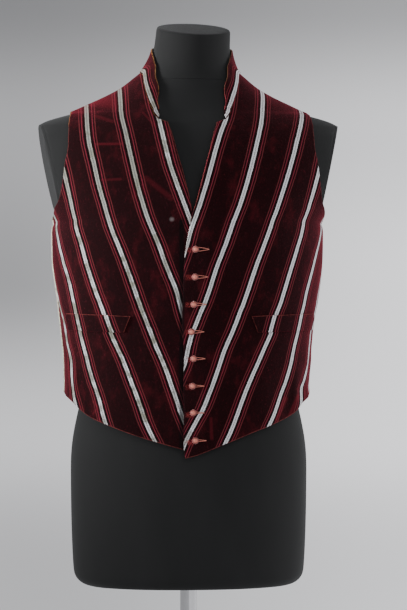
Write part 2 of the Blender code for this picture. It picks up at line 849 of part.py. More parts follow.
def make_stand(metal):
    top = FORM_BOTTOM * MM - 0.3 * MM
    bottom = BASE_THICK + 0.3 * MM
    profile = [(0.0, bottom), (POLE_RADIUS, bottom), (POLE_RADIUS, top), (0.0, top)]
    new_object("pole", lathe(profile, 24), metal)
    profile = [
        (0.0, 0.0),
        (BASE_RADIUS, 0.0),
        (BASE_RADIUS, BASE_THICK - BASE_EDGE),
        (BASE_RADIUS - BASE_EDGE * 0.3, BASE_THICK - BASE_EDGE * 0.3),
        (BASE_RADIUS - BASE_EDGE, BASE_THICK),
        (0.0, BASE_THICK),
    ]
    new_object("base", lathe(profile, 48), metal)


def main():
    for item in list(bpy.data.objects):
        bpy.data.objects.remove(item, do_unlink=True)
    velvet = make_material("striped_velvet", (0.06, 0.006, 0.012), 0.8)
    cotton = make_material("back_cotton", (0.62, 0.58, 0.47), 0.9)
    thread = make_material("button_thread", (0.45, 0.16, 0.12), 0.7)
    jersey = make_material("form_jersey", (0.02, 0.021, 0.022), 0.85)
    chrome = make_material("chrome", (0.75, 0.76, 0.78), 0.12, 1.0)
    make_torso(jersey)
    make_arm_plates(jersey)
    make_neck(jersey)
    make_stand(chrome)
    make_fronts(velvet)
    cloth_panel("back", back_places(), COTTON_WALL, cotton)
    make_collar(velvet)
    make_welts(velvet)
    make_buttons(thread)


main()
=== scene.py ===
"""Looks of a striped velvet waistcoat on a limbless dress form.

Shapes are worked out in millimetres. The front faces -Y and the wearer's left is
at +X. A place on the body is a turn and a height: turn 0 is the centre front, 1
the wearer's left side, 2 the centre back and -1 the wearer's right side.
"""

import math
from collections import namedtuple
from functools import lru_cache

import bmesh
import bpy
import numpy as np
from mathutils import Matrix, Vector


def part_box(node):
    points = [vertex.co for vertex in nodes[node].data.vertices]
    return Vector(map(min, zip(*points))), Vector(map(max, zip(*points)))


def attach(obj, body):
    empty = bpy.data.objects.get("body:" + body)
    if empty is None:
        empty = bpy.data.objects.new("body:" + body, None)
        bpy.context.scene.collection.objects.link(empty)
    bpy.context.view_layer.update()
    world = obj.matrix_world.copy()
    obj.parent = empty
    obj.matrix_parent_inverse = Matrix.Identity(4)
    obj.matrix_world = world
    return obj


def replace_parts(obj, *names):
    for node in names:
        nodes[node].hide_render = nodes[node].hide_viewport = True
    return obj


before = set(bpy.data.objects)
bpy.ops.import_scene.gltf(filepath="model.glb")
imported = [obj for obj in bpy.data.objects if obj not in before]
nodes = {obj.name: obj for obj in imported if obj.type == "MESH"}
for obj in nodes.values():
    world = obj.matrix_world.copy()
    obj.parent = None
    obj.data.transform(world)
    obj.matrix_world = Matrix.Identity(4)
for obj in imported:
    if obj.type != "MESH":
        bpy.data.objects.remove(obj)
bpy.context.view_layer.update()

MM = 0.001


def rows_of(kind, rows):
    return tuple(kind(*row) for row in rows)


# The dress form's level sections, as the solids have them.
Section = namedtuple("Section", "height half_width front back centre sway power")
FORM_SECTIONS = rows_of(Section, (
    (352, 167.5, 112, 104, 0, 0.0, 2.35), (391, 169.5, 116, 112, 0, 0.0, 2.35),
    (450, 171.0, 119, 118, 0, 0.0, 2.35), (523, 171.5, 119, 120, 0, 0.0, 2.35),
    (577, 161.0, 116, 110, 0, 0.0, 2.3), (620, 153.0, 113, 98, 0, 0.0, 2.3),
    (660, 152.0, 113, 94, 0, 0.0, 2.3), (720, 160.0, 116, 98, 0, 0.0, 2.3),
    (790, 175.0, 121, 108, 0, 0.0, 2.3), (850, 183.5, 124, 116, 0, 0.0, 2.3),
    (872, 203.0, 125, 119, 0, 0.0, 2.3), (900, 222.0, 124, 122, 0, 0.0, 2.3),
    (940, 234.0, 116, 123, 0, 0.0, 2.3), (966, 232.0, 106, 119, 0, 0.0, 2.25),
    (982, 228.0, 98, 113, 0, 0.0, 2.15), (993, 215.0, 91, 108, 0, 0.0, 2.05),
    (1000, 199.0, 86, 103, 0, 0.0, 2.0), (1005, 176.0, 82, 99, 0, 0.0, 2.0),
    (1019, 144.0, 74, 92, 0, 0.2, 2.0), (1042, 99.5, 64, 79, 0, 0.9, 2.0),
    (1058, 79.0, 61, 71, 0, 1.4, 2.0), (1066, 69.5, 60, 67, 0, 1.7, 2.0),
    (1076, 61.0, 59, 62, -1, 2.3, 2.0), (1090, 56.5, 58, 58, -4, 3.3, 2.0),
    (1105, 55.0, 57, 56, -9, 4.4, 2.0), (1160, 52.0, 55, 54, -26, 7.5, 2.0),
))

# The cloth's ease over the form, to its inner face, and its hang to one side.
Ease = namedtuple("Ease", "height front side back sway")
EASE_ROWS = rows_of(Ease, (
    (515, 9.0, 22.0, 14.0, -3.5), (603, 9.0, 22.0, 14.0, -3.6), (630, 8.5, 24.0, 13.5, -3.2),
    (655, 8.0, 26.0, 13.0, -2.4), (681, 7.5, 26.3, 12.5, -2.8), (697, 7.0, 25.5, 12.0, -3.0),
    (719, 6.5, 24.2, 11.0, -2.9), (735, 5.8, 23.7, 10.0, -2.1), (767, 4.8, 21.0, 8.0, -1.8),
    (805, 3.5, 17.7, 5.0, -2.3), (830, 3.0, 15.3, 3.5, -2.3), (842, 2.7, 13.4, 3.0, -2.4),
    (855, 2.4, 8.0, 2.4, -2.0), (880, 1.8, 1.6, 1.8, -0.5), (920, 1.4, 1.2, 1.6, 0.0),
    (978, 1.8, 1.8, 5.2, 0.0), (1008, 1.8, 1.8, 5.2, 0.0), (1030, 1.1, 1.1, 1.3, 0.0),
    (1160, 1.1, 1.1, 1.1, 0.0),
))

# Soft folds that the solids have too. Lean is the turn that a fold moves by over
# 100 mm of height.
Fold = namedtuple("Fold", "turn height lean half_turn half_height out")
FOLDS = rows_of(Fold, (
    (0.72, 596, -0.02, 0.10, 42, 3.2), (0.54, 590, -0.03, 0.09, 40, -2.4),
    (-0.74, 604, 0.02, 0.10, 48, 2.6), (-0.56, 585, 0.02, 0.09, 40, -2.0),
    (1.45, 668, 0.03, 0.12, 90, -4.5), (1.80, 632, 0.01, 0.10, 70, 2.2),
    (2.16, 620, 0.00, 0.11, 62, -2.6), (2.50, 676, -0.02, 0.13, 104, -4.5),
))

# Smaller creases, each a soft ridge or trough between two places.
Crease = namedtuple("Crease", "turn height end_turn end_height half_width out")
CREASES = rows_of(Crease, (
    (0.60, 556, 0.66, 636, 7, 1.3), (0.68, 566, 0.71, 628, 5, -1.0), (0.79, 584, 0.78, 660, 6, 1.1),
    (-0.66, 566, -0.72, 640, 7, 1.1), (-0.82, 590, -0.80, 668, 6, 0.9),
    (0.16, 548, 0.20, 604, 6, 0.8), (0.80, 700, 0.90, 742, 8, 1.0),
    (-0.76, 702, -0.85, 750, 8, 0.9), (0.30, 880, 0.62, 862, 12, 0.8),
    (-0.24, 890, -0.60, 868, 12, 0.8), (-0.34, 968, -0.50, 962, 5, 0.5),
    (1.20, 780, 1.70, 742, 9, 1.4), (1.32, 748, 1.88, 716, 8, -1.2), (2.30, 738, 2.78, 772, 9, 1.3),
    (2.20, 700, 2.66, 724, 8, -1.1), (1.62, 900, 2.38, 904, 11, 1.0),
    (1.92, 600, 1.95, 668, 8, 1.0), (2.34, 604, 2.30, 660, 7, 0.9),
))
TURN_LENGTH = 235
VELVET_WALL = 2.0
COTTON_WALL = 1.4
SEAM_GAP = 0.35
LAID_GAP = 0.75

# Edges of a front, across from the centre towards its own side, and height.
Edge = namedtuple("Edge", "across height")
FRONT_EDGE = rows_of(Edge, (
    (-10.8, 537), (-10, 590), (-11.2, 633), (-10.6, 663), (-12.3, 697), (-12.8, 741), (-11.6, 780),
    (-8.7, 812), (-2, 845),
))
NECKLINE = rows_of(Edge, (
    (-2, 845), (-0.5, 858), (3.0, 872), (9.5, 898), (17, 926), (24.5, 953), (29.5, 972),
    (34.5, 987),
))
NOTCH = (Edge(34.5, 987), Edge(47.6, 992))
NECK_SEAM_FRONT = rows_of(Edge, (
    (47.6, 992), (55, 1006), (62.3, 1025), (67.6, 1045), (70.2, 1060),
))
FRONT_TIP = {"left": Edge(-8, 519), "right": Edge(-8, 527)}
HEM_NEAR_TIP = {
    "left": (Edge(0, 521), Edge(40, 535)),
    "right": (Edge(0, 528.5), Edge(40, 538.5)),
}
HEM_FRONT = rows_of(Edge, (
    (82, 550.5), (113, 561), (141, 572.5), (157, 583), (168, 592),
))
SIDE_HEM = 603
BACK_HEM = 598
UNDERARM = 857
ARMHOLE_FRONT = rows_of(Edge, (
    (193, 871), (186, 886), (182, 909), (177, 941), (174.5, 962), (174, 982), (173, 995),
    (172, 1001),
))
ARMHOLE_BACK = rows_of(Edge, (
    (190, 871), (180, 892), (173, 920), (168, 950), (167, 976), (167, 992), (168, 1000),
))
Crest = namedtuple("Crest", "turn across")
ARMHOLE_TOP_FRONT = (Crest(0.85, 170), Crest(1.0, 170.5))
ARMHOLE_TOP_BACK = (Crest(1.22, 169),)
SHOULDER_SEAM_TURN = 1.12
SHOULDER_ACROSS = 170.5
NECK_POINT_ACROSS = 70
BACK_NECK_HEIGHT = 1068
SIDE_SEAM_TURN = {"left": 0.97, "right": 0.915}
LAP_LIFT = VELVET_WALL + 0.6
LAP_FLAT = 18
LAP_BLEND = 46
NECKLINE_LIFT = {"left": 4.0, "right": 2.0}
NECKLINE_LIFT_REACH = 32

Top = namedtuple("Top", "turn height stand_off")
COLLAR_TOPS = rows_of(Top, (
    (0.138, 996.5, 3.6), (0.203, 1016, 3.7), (0.295, 1041, 4.0), (0.530, 1070, 3.5),
    (0.660, 1081, 2.8), (0.760, 1089, 2.2), (1.000, 1101, 1.8), (1.500, 1108, 1.6),
    (2.000, 1110, 1.6),
))
COLLAR_HOLLOW = 1.45
COLLAR_CLEAR = 0.9
WELT_CORNERS = {
    "left": (Edge(84, 717.5), Edge(93, 694.5), Edge(178, 724.5), Edge(177, 701)),
    "right": (Edge(84, 717.5), Edge(93, 694.5), Edge(173, 724.5), Edge(172, 701)),
}
WELT_WALL = 1.6

BUTTON_TOP = 809.8
BUTTON_SPACING = 38.1
BUTTON_ACROSS = (2.5, 1.8, 0.3, -2.9, -0.1, -1.6, -0.8, 2.1)
BUTTON_RADIUS = 4.8
BUTTON_RIM = 1.5
BUTTON_DOME = 3.6
BUTTON_GAP = 0.55

# The solids' own grid divisions, and how much finer each piece is here.
ACROSS_STEPS = 14
EDGE_STEPS = 10
NECKLINE_STEPS = 8
NOTCH_STEPS = 1
NECK_SEAM_STEPS = 10
ARMHOLE_STEPS = NECKLINE_STEPS + NOTCH_STEPS + NECK_SEAM_STEPS
FRONT_ROWS = EDGE_STEPS + ARMHOLE_STEPS
BACK_SHOULDER_STEPS = 7
BACK_NECK_STEPS = 10
DENSE = 10
FINER = 5

# Where each white stripe of a front runs: heights, and millimetres from the centre
# front. These go round the body below the chest and straight across above it.
STRIPE_REPEAT = 56.0
STRIPE_NEAR = 16.0
Run = namedtuple("Run", "height run")
STRIPES = {
    "left": (
        ((519, -112), (700, -50), (780, -20), (816, -7), (835, -2), (856, 5), (884, 13),
         (918, 23), (943, 30), (973, 40), (993, 48), (1010, 52.5), (1075, 62)),
        ((519, -62), (600, -30), (650, -10), (687, -1), (705, 6), (742, 20), (781, 33),
         (813, 46), (851, 59.5), (878, 68.5), (917, 79.5), (959, 90.5), (995, 99.3),
         (1040, 105), (1075, 106)),
        ((519, -17), (543, -7), (571, 8), (588, 17.5), (629, 33), (667, 45.5), (702, 61),
         (741, 75), (780, 88.5), (811, 101), (847, 115), (878, 124.5), (907, 133),
         (960, 147.5), (1004, 160), (1040, 165), (1075, 167)),
        ((519, 39), (538, 47.5), (553, 55), (600, 74), (630, 86), (669, 103.5), (693, 115),
         (717, 122.5), (738, 130), (775, 142.5), (809, 156), (845, 169.5), (887, 178),
         (913, 181.5), (960, 189), (1075, 222)),
        ((519, 92), (563, 114), (585, 126), (610, 138), (637, 147.5), (674, 157.5),
         (701, 166.5), (724, 172.5), (753, 179), (779, 189), (807, 203), (837, 222),
         (880, 242), (1075, 290)),
        ((519, 140), (563, 162), (582, 170), (591, 174), (611, 176.5), (627, 186),
         (668, 203), (698, 207), (723, 216), (760, 228), (850, 270), (1075, 350)),
    ),
    "right": (
        ((519, -105), (700, -48), (780, -22), (820, -9), (849, 2), (880, 15.5),
         (906, 25.5), (927, 32.5), (953, 39), (973, 43.3), (992, 47.5), (1010, 52.5), (1075, 62)),
        ((519, -62), (600, -32), (660, -10), (720, 12.5), (753, 22.5), (784, 35), (816, 46.5),
         (847, 59.5), (872, 69.5), (890, 75.5), (909, 80.5), (940, 87.3), (969, 93.3), (1001, 99.5),
         (1042, 100.8), (1075, 102)),
        ((519, -12), (577, 12.5), (633, 32), (668, 46.7), (704, 60.3), (736, 73.8),
         (768, 85.4), (802, 97.7), (836, 112), (867, 123), (901, 133.3), (931, 139.2),
         (963, 145.4), (987, 147.7), (1012, 148.5), (1075, 152)),
        ((519, 40), (541, 50), (563, 61), (593, 71.7), (629, 85.5), (664, 100.6), (697, 115),
         (725, 126), (755, 138.8), (784, 149.5), (814, 159.3), (853, 173), (895, 180.5),
         (917, 183), (960, 190), (1075, 200)),
        ((519, 103), (562, 120.4), (590, 130), (616, 139.6), (645, 150.6), (673, 159),
         (703, 167.5), (722, 173), (743, 179.2), (770, 187), (796, 198), (823, 210.5),
         (861, 224.4), (900, 235), (1075, 260)),
        ((519, 150), (583, 171.4), (605, 179.5), (625, 184.4), (652, 189), (681, 200),
         (711, 206), (736, 221), (800, 250), (1075, 330)),
    ),
}


# Shapes, on arrays of turns and heights.

@lru_cache(None)
def column(rows, name):
    """One column of a table, with the slope at each row."""
    keys = np.array([row[0] for row in rows], float)
    values = np.array([getattr(row, name) for row in rows], float)
    rise = np.diff(values) / np.diff(keys)
    slope = np.empty_like(values)
    slope[0] = rise[0]
    slope[-1] = rise[-1]
    total = rise[:-1] + rise[1:]
    mean = 2 * rise[:-1] * rise[1:] / np.where(total == 0, 1, total)
    slope[1:-1] = np.where(rise[:-1] * rise[1:] > 0, mean, 0)
    return keys, values, slope


def smooth_value(rows, name, at):
    """Read one column of a table between its rows, without overshoot."""
    keys, values, slope = column(rows, name)
    index = np.clip(np.searchsorted(keys, at, side="right") - 1, 0, len(keys) - 2)
    span = keys[index + 1] - keys[index]
    t = np.clip((at - keys[index]) / span, 0, 1)
    return (
        values[index] * (2 * t**3 - 3 * t**2 + 1)
        + span * slope[index] * (t**3 - 2 * t**2 + t)
        + values[index + 1] * (3 * t**2 - 2 * t**3)
        + span * slope[index + 1] * (t**3 - t**2)
    )


def smoothstep(low, high, value):
    t = np.clip((value - low) / (high - low), 0, 1)
    return t * t * (3 - 2 * t)


def section_at(height):
    return {name: smooth_value(FORM_SECTIONS, name, height) for name in Section._fields[1:]}


def ring_point(turn, height):
    """Points of the form's surface."""
    turn = np.asarray(turn, float)
    height = np.asarray(height, float)
    section = section_at(height)
    sine = np.sin(turn * math.pi / 2)
    cosine = np.cos(turn * math.pi / 2)
    power = 2 / section["power"]
    x = section["half_width"] * np.sign(sine) * np.abs(sine) ** power
    depth = np.where(cosine > 0, section["front"], section["back"])
    y = -depth * np.sign(cosine) * np.abs(cosine) ** power
    z = height + 0 * turn
    return np.stack([x + section["sway"], y + section["centre"], z], axis=-1)


def unit(vectors):
    return vectors / np.linalg.norm(vectors, axis=-1, keepdims=True)


def ring_normal(turn, height):
    turn = np.asarray(turn, float)
    height = np.asarray(height, float)
    around = ring_point(turn + 0.01, height) - ring_point(turn - 0.01, height)
    upward = ring_point(turn, height + 0.6) - ring_point(turn, height - 0.6)
    return unit(np.cross(around, upward))


def ease_at(turn, height):
    angle = np.asarray(turn, float) * math.pi / 2
    front = smooth_value(EASE_ROWS, "front", height)
    back = smooth_value(EASE_ROWS, "back", height)
    side = np.sin(angle) ** 2
    middle = np.where(np.cos(angle) > 0, front, back)
    return smooth_value(EASE_ROWS, "side", height) * side + middle * (1 - side)


EDGE_BY_HEIGHT = tuple(Edge(edge.height, edge.across) for edge in FRONT_EDGE + NECKLINE[1:])


def front_lift(turn, height, side):
    """What a front is raised by at its lap and along its neckline."""
    across = ring_point(turn, height)[..., 0] * (1 if side == "left" else -1)
    lift = NECKLINE_LIFT[side]
    lift = lift * smoothstep(850, 900, height) * (1 - smoothstep(960, 1000, height))
    edge = smooth_value(EDGE_BY_HEIGHT, "height", height)
    lift = lift * (1 - smoothstep(0, NECKLINE_LIFT_REACH, across - edge))
    if side == "left":
        below = 1 - smoothstep(872, 905, height)
        lift = lift + LAP_LIFT * below * (1 - smoothstep(LAP_FLAT, LAP_BLEND, across))
    return lift


def fold_out(turn, height):
    total = 0.0
    for fold in FOLDS:
        apart = turn - fold.turn - fold.lean * (height - fold.height) / 100
        apart = (apart + 2) % 4 - 2
        level = (height - fold.height) / fold.half_height
        total = total + fold.out * np.exp(-((apart / fold.half_turn) ** 2) - level**2)
    return total


def crease_out(turn, height):
    """The small creases, which only the finer cloth has."""
    total = 0.0
    for crease in CREASES:
        run = ((turn - crease.turn + 2) % 4 - 2) * TURN_LENGTH
        rise = height - crease.height
        end_run = (crease.end_turn - crease.turn) * TURN_LENGTH
        end_rise = crease.end_height - crease.height
        length = math.hypot(end_run, end_rise)
        along = (run * end_run + rise * end_rise) / length
        aside = (run * end_rise - rise * end_run) / length
        ends = smoothstep(-0.25, 0.35, along / length) * (1 - smoothstep(0.65, 1.25, along / length))
        total = total + crease.out * ends * np.exp(-((aside / crease.half_width) ** 2))
    return total


def cloth_point(turn, height, out, side=None, creased=False):
    """Points over the form, out from the cloth's inner face."""
    turn = np.asarray(turn, float)
    height = np.asarray(height, float)
    offset = ease_at(turn, height) + fold_out(turn, height) + out
    if side:
        offset = offset + front_lift(turn, height, side)
    if creased:
        offset = offset + crease_out(turn, height)
    points = ring_point(turn, height) + ring_normal(turn, height) * offset[..., None]
    points[..., 0] += smooth_value(EASE_ROWS, "sway", height)
    return points


def halved(low, high, is_low, rounds=24):
    """Close in on where a test changes, between two bounds."""
    for _ in range(rounds):
        middle = (low + high) / 2
        short = is_low(middle)
        low = np.where(short, middle, low)
        high = np.where(short, high, middle)
    return low


def turn_at(across, height):
    """The turns at which the cloth's outer face lies this far across."""
    across = np.asarray(across, float)
    height = np.asarray(height, float)
    reach = np.abs(across) + smooth_value(EASE_ROWS, "sway", height)
    low = np.zeros(np.broadcast(across, height).shape)
    turn = halved(low, low + 1, lambda turn: cloth_point(turn, height, VELVET_WALL)[..., 0] < reach)
    return np.copysign(turn, across)


def crest_height(turn, across):
    """The height at which a shoulder's top is this far across."""
    return float(halved(1000.0, 1072.0, lambda height: ring_point(turn, height)[0] > across, 40))


def place(row):
    """Turn and height of a row of either kind."""
    if isinstance(row, Crest):
        return (row.turn, crest_height(row.turn, row.across))
    return (float(turn_at(row.across, row.height)), row.height)


def through(places, per_span=12):
    """A smooth line through places, as closely spaced places."""
    line = []
    for index in range(len(places) - 1):
        near = [np.array(places[max(min(index + k, len(places) - 1), 0)], float) for k in (-1, 0, 1, 2)]
        for step in range(per_span):
            t = step / per_span
            line.append(0.5 * (
                2 * near[1]
                + (near[2] - near[0]) * t
                + (2 * near[0] - 5 * near[1] + 4 * near[2] - near[3]) * t**2
                + (3 * near[1] - near[0] - 3 * near[2] + near[3]) * t**3
            ))
    line.append(np.array(places[-1], float))
    return np.array(line)


def spread(line, steps):
    """Places at equal distances along a line."""
    line = np.asarray(line, float)
    points = ring_point(line[:, 0], line[:, 1])
    run = np.concatenate([[0], np.cumsum(np.linalg.norm(np.diff(points, axis=0), axis=1))])
    want = np.linspace(0, run[-1], steps + 1)
    return np.stack([np.interp(want, run, line[:, k]) for k in (0, 1)], axis=1)


def curve(rows, steps):
    return spread(through([place(row) for row in rows]), steps)


def shift_turns(places, gap):
    """Move places round the body by a gap."""
    turn, height = places[:, 0], places[:, 1]
    around = ring_point(turn + 0.01, height) - ring_point(turn - 0.01, height)
    per_turn = np.linalg.norm(around, axis=1) / 0.02
    return np.stack([turn + gap / per_turn, height], axis=1)


def chain(*parts):
    return np.concatenate([parts[0]] + [part[1:] for part in parts[1:]])


def at_shares(line, shares):
    """Places at shares of a line's own numbering."""
    index = np.asarray(shares) * (len(line) - 1)
    return np.stack([np.interp(index, np.arange(len(line)), line[:, k]) for k in (0, 1)], axis=1)


def fill(left, right, bottom, top, up, over):
    """A grid of places between four edges, at shares up and over."""
    left, right = at_shares(left, up)[:, None], at_shares(right, up)[:, None]
    corners = [bottom[0], bottom[-1], top[0], top[-1]]
    bottom, top = at_shares(bottom, over)[None], at_shares(top, over)[None]
    v = np.asarray(up)[:, None, None]
    u = np.asarray(over)[None, :, None]
    return (
        (1 - v) * bottom + v * top + (1 - u) * left + u * right
        - (1 - u) * (1 - v) * corners[0] - u * (1 - v) * corners[1]
        - (1 - u) * v * corners[2] - u * v * corners[3]
    )


EDGE_ROUND = 0.8


def rimmed(steps, length, wall):
    """Even shares with a few more close to both ends, for a rounded edge."""
    near = np.array([0.0, 0.12, 0.42, 1.0]) * wall * EDGE_ROUND / length
    even = np.linspace(0, 1, steps + 1)
    even = even[(even > near[-1] * 1.3) & (even < 1 - near[-1] * 1.3)]
    return np.concatenate([near, even, 1 - near[::-1]])


def seam_line(steps, gap):
    across = NECK_POINT_ACROSS + (SHOULDER_ACROSS - NECK_POINT_ACROSS) * np.linspace(0, 1, 21)
    line = [place(Crest(SHOULDER_SEAM_TURN, each)) for each in across]
    return shift_turns(spread(line, steps), gap)


def front_places(side, up, over):
    """The grid of a front, as if it were the wearer's left one."""
    seam = SIDE_SEAM_TURN[side]
    underarm = (seam, UNDERARM)
    shoulder = Crest(SHOULDER_SEAM_TURN, SHOULDER_ACROSS)
    neck_point = Crest(SHOULDER_SEAM_TURN, NECK_POINT_ACROSS)
    neck_side = Crest(1.0, NECK_POINT_ACROSS + 0.8)
    armhole = [underarm] + [place(row) for row in ARMHOLE_FRONT + ARMHOLE_TOP_FRONT + (shoulder,)]
    left = chain(
        curve((FRONT_TIP[side],) + FRONT_EDGE, EDGE_STEPS * DENSE),
        curve(NECKLINE, NECKLINE_STEPS * DENSE),
        curve(NOTCH, NOTCH_STEPS * DENSE),
        curve(NECK_SEAM_FRONT + (neck_side, neck_point), NECK_SEAM_STEPS * DENSE),
    )
    right = chain(
        spread(through([(seam, SIDE_HEM), underarm]), EDGE_STEPS * DENSE),
        spread(through(armhole), ARMHOLE_STEPS * DENSE),
    )
    right = shift_turns(right, -SEAM_GAP / 2)
    hem = [place(row) for row in (FRONT_TIP[side],) + HEM_NEAR_TIP[side] + HEM_FRONT] + [tuple(right[0])]
    bottom = spread(through(hem), ACROSS_STEPS * DENSE)
    top = seam_line(ACROSS_STEPS * DENSE, -SEAM_GAP / 2)
    left[-1] = top[0]
    right[-1] = top[-1]
    return fill(left, right, bottom, top, up, over)


def mirror_places(places):
    return np.stack([4 - places[:, 0], places[:, 1]], axis=1)


def back_neck_line():
    start = place(Crest(SHOULDER_SEAM_TURN, NECK_POINT_ACROSS))
    side = (1.5, (start[1] + BACK_NECK_HEIGHT) / 2)
    middle = (2.0, BACK_NECK_HEIGHT)
    return [start, side, middle, (4 - side[0], side[1]), (4 - start[0], start[1])]


def back_girth(height):
    section = section_at(height)
    return section["half_width"] + section["back"]


def rolled_out(places):
    """Turns and heights as distances from the centre back and heights."""
    return np.stack([(2 - places[:, 0]) * back_girth(places[:, 1]), places[:, 1]], axis=1)


def back_places(up, over):
    """The grid of the back, from the wearer's left side round to the right."""
    halves = {}
    for side in ("left", "right"):
        seam = SIDE_SEAM_TURN[side]
        armhole = [(seam, UNDERARM)]
        armhole += [(2 - float(turn_at(*row)), row.height) for row in ARMHOLE_BACK]
        armhole += [place(row) for row in ARMHOLE_TOP_BACK + (Crest(SHOULDER_SEAM_TURN, SHOULDER_ACROSS),)]
        line = chain(
            spread(through([(seam, SIDE_HEM), (seam, UNDERARM)]), EDGE_STEPS * DENSE),
            spread(through(armhole), ARMHOLE_STEPS * DENSE),
        )
        halves[side] = shift_turns(line, SEAM_GAP / 2)
    shoulder = seam_line(BACK_SHOULDER_STEPS * DENSE, SEAM_GAP / 2)[::-1]
    neck = spread(through(back_neck_line()), BACK_NECK_STEPS * DENSE)
    top = chain(shoulder, neck, mirror_places(shoulder)[::-1])
    left, right = halves["left"], mirror_places(halves["right"])
    top[0] = left[-1]
    top[-1] = right[-1]
    hem = [tuple(left[0]), (2.0, BACK_HEM), tuple(right[0])]
    bottom = spread(through(hem, 30), len(top) - 1)
    flat = fill(*(rolled_out(line) for line in (left, right, bottom, top)), up, over)
    return np.stack([2 - flat[..., 0] / back_girth(flat[..., 1]), flat[..., 1]], axis=-1)


def neck_seam_places():
    side = Crest(1.0, NECK_POINT_ACROSS + 0.8)
    return [place(row) for row in NECK_SEAM_FRONT + (side,)] + back_neck_line()[:3]


def clear_of_form(points, gap):
    """Move points level outwards until they are this far from the form."""
    height = points[..., 2]
    section = section_at(height)
    middle = np.stack([section["sway"], section["centre"], height], axis=-1)
    depth = np.where(points[..., 1] < middle[..., 1], section["front"], section["back"])
    away = points - middle
    power = section["power"]
    size = np.abs(away[..., 0] / section["half_width"]) ** power + np.abs(away[..., 1] / depth) ** power
    surface = away * (size ** (-1 / power))[..., None]
    reach = np.linalg.norm(surface, axis=-1)
    inside = np.linalg.norm(away, axis=-1) <= reach + gap
    pushed = middle + surface * (1 + gap / reach)[..., None]
    return np.where(inside[..., None], pushed, points)


def collar_points(up, over):
    """Points of the collar's inner face, at shares up it and round it."""
    seam = neck_seam_places()
    tops = [(row.turn, row.height) for row in COLLAR_TOPS]
    offs = [(row.stand_off, 0.0) for row in COLLAR_TOPS]
    seam = seam + [(4 - turn, height) for turn, height in seam[-2::-1]]
    tops = tops + [(4 - turn, height) for turn, height in tops[-2::-1]]
    offs = offs + offs[-2::-1]
    base, top, off = (at_shares(through(line, 12), over) for line in (seam, tops, offs))
    ease = ease_at(base[:, 0], base[:, 1]) + VELVET_WALL + SEAM_GAP
    low = ring_point(base[:, 0], base[:, 1]) + ring_normal(base[:, 0], base[:, 1]) * ease[:, None]
    high = ring_point(top[:, 0], top[:, 1])
    high = high + ring_normal(top[:, 0], top[:, 1]) * off[:, :1]
    share = np.asarray(up)[:, None, None]
    points = low + (high - low) * (1 - (1 - share) ** COLLAR_HOLLOW)
    points[..., 2] = low[:, 2] + (high - low)[:, 2] * share[..., 0]
    return clear_of_form(points, COLLAR_CLEAR)


def welt_places(side, up, over):
    inner_top, inner_low, outer_top, outer_low = [place(row) for row in WELT_CORNERS[side]]
    top = at_shares(spread(through([inner_top, outer_top], 30), 60), over)[None]
    low = at_shares(spread(through([inner_low, outer_low], 30), 60), over)[None]
    return low + (top - low) * np.asarray(up)[:, None, None]


def grid_normals(grid):
    around = np.gradient(grid, axis=1)
    upward = np.gradient(grid, axis=0)
    return unit(np.cross(around, upward))


def edge_distance(grid):
    """How far each point of a grid is from the nearest edge, along the cloth."""
    across = np.linalg.norm(np.diff(grid, axis=1), axis=2)
    along = np.linalg.norm(np.diff(grid, axis=0), axis=2)
    from_left = np.concatenate([np.zeros((len(grid), 1)), np.cumsum(across, axis=1)], axis=1)
    from_low = np.concatenate([np.zeros((1, grid.shape[1])), np.cumsum(along, axis=0)], axis=0)
    sides = [from_left, from_left[:, -1:] - from_left, from_low, from_low[-1:] - from_low]
    return np.min(sides, axis=0), from_left, from_low


# Making meshes.

def placed(name, data):
    item = bpy.data.objects.new(name, data)
    bpy.context.scene.collection.objects.link(item)
    return item


def ride(item):
    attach(item, "root")
    return item


def add_piece(name, points, faces, finishes):
    mesh = bpy.data.meshes.new(name)
    mesh.from_pydata((np.asarray(points) * MM).tolist(), [], np.asarray(faces).tolist())
    for finish in finishes:
        mesh.materials.append(finish)
    mesh.shade_smooth()
    return ride(placed(name, mesh))


def set_marks(item, marks, edge):
    """The cloth's own measures: a map of stripes and length, and edge distance."""
    mesh = item.data
    layer = mesh.uv_layers.new(name="cut")
    corner = np.empty(len(mesh.loops), np.int32)
    mesh.loops.foreach_get("vertex_index", corner)
    layer.data.foreach_set("uv", np.asarray(marks)[corner].astype(np.float32).ravel())
    stored = mesh.attributes.new("edge", "FLOAT", "POINT")
    stored.data.foreach_set("value", np.asarray(edge, np.float32))


def sewn_panel(name, node, middle, wall, marks, worn, finishes, slot="striped_velvet"):
    """A closed panel of cloth with rounded edges, from the grid of its middle."""
    edge, _, _ = edge_distance(middle)
    half = wall / 2 * np.sqrt(1 - (1 - np.clip(edge / (wall * EDGE_ROUND), 0, 1)) ** 2)
    normals = grid_normals(middle)
    outer = middle + normals * half[..., None]
    inner = middle - normals * half[..., None]
    rows, columns = edge.shape
    numbers = np.arange(rows * columns).reshape(rows, columns)
    under = numbers.copy()
    under[1:-1, 1:-1] = rows * columns + np.arange((rows - 2) * (columns - 2)).reshape(rows - 2, -1)

    def both(over, beneath):
        rows = [each.reshape(-1, *each.shape[2:]) for each in (over, beneath[1:-1, 1:-1])]
        return np.concatenate(rows)

    def quads(index):
        corners = [index[:-1, :-1], index[:-1, 1:], index[1:, 1:], index[1:, :-1]]
        return np.stack(corners, -1).reshape(-1, 4)

    faces = np.concatenate([quads(numbers), quads(under)[:, ::-1]])
    item = add_piece(name, both(outer, inner), faces, finishes)
    set_marks(item, both(marks, marks), both(worn, worn))
    inside = np.zeros(len(faces), np.int32)
    inside[len(faces) // 2:] = len(finishes) - 1
    item.data.polygons.foreach_set("material_index", inside)
    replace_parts(item, node)
    return item


def turned(side, grids):
    """The right side's grids turned round, so that the outer face stays outside."""
    if side == "left":
        return grids
    return [grid[:, ::-1] if isinstance(grid, np.ndarray) else grid for grid in grids]


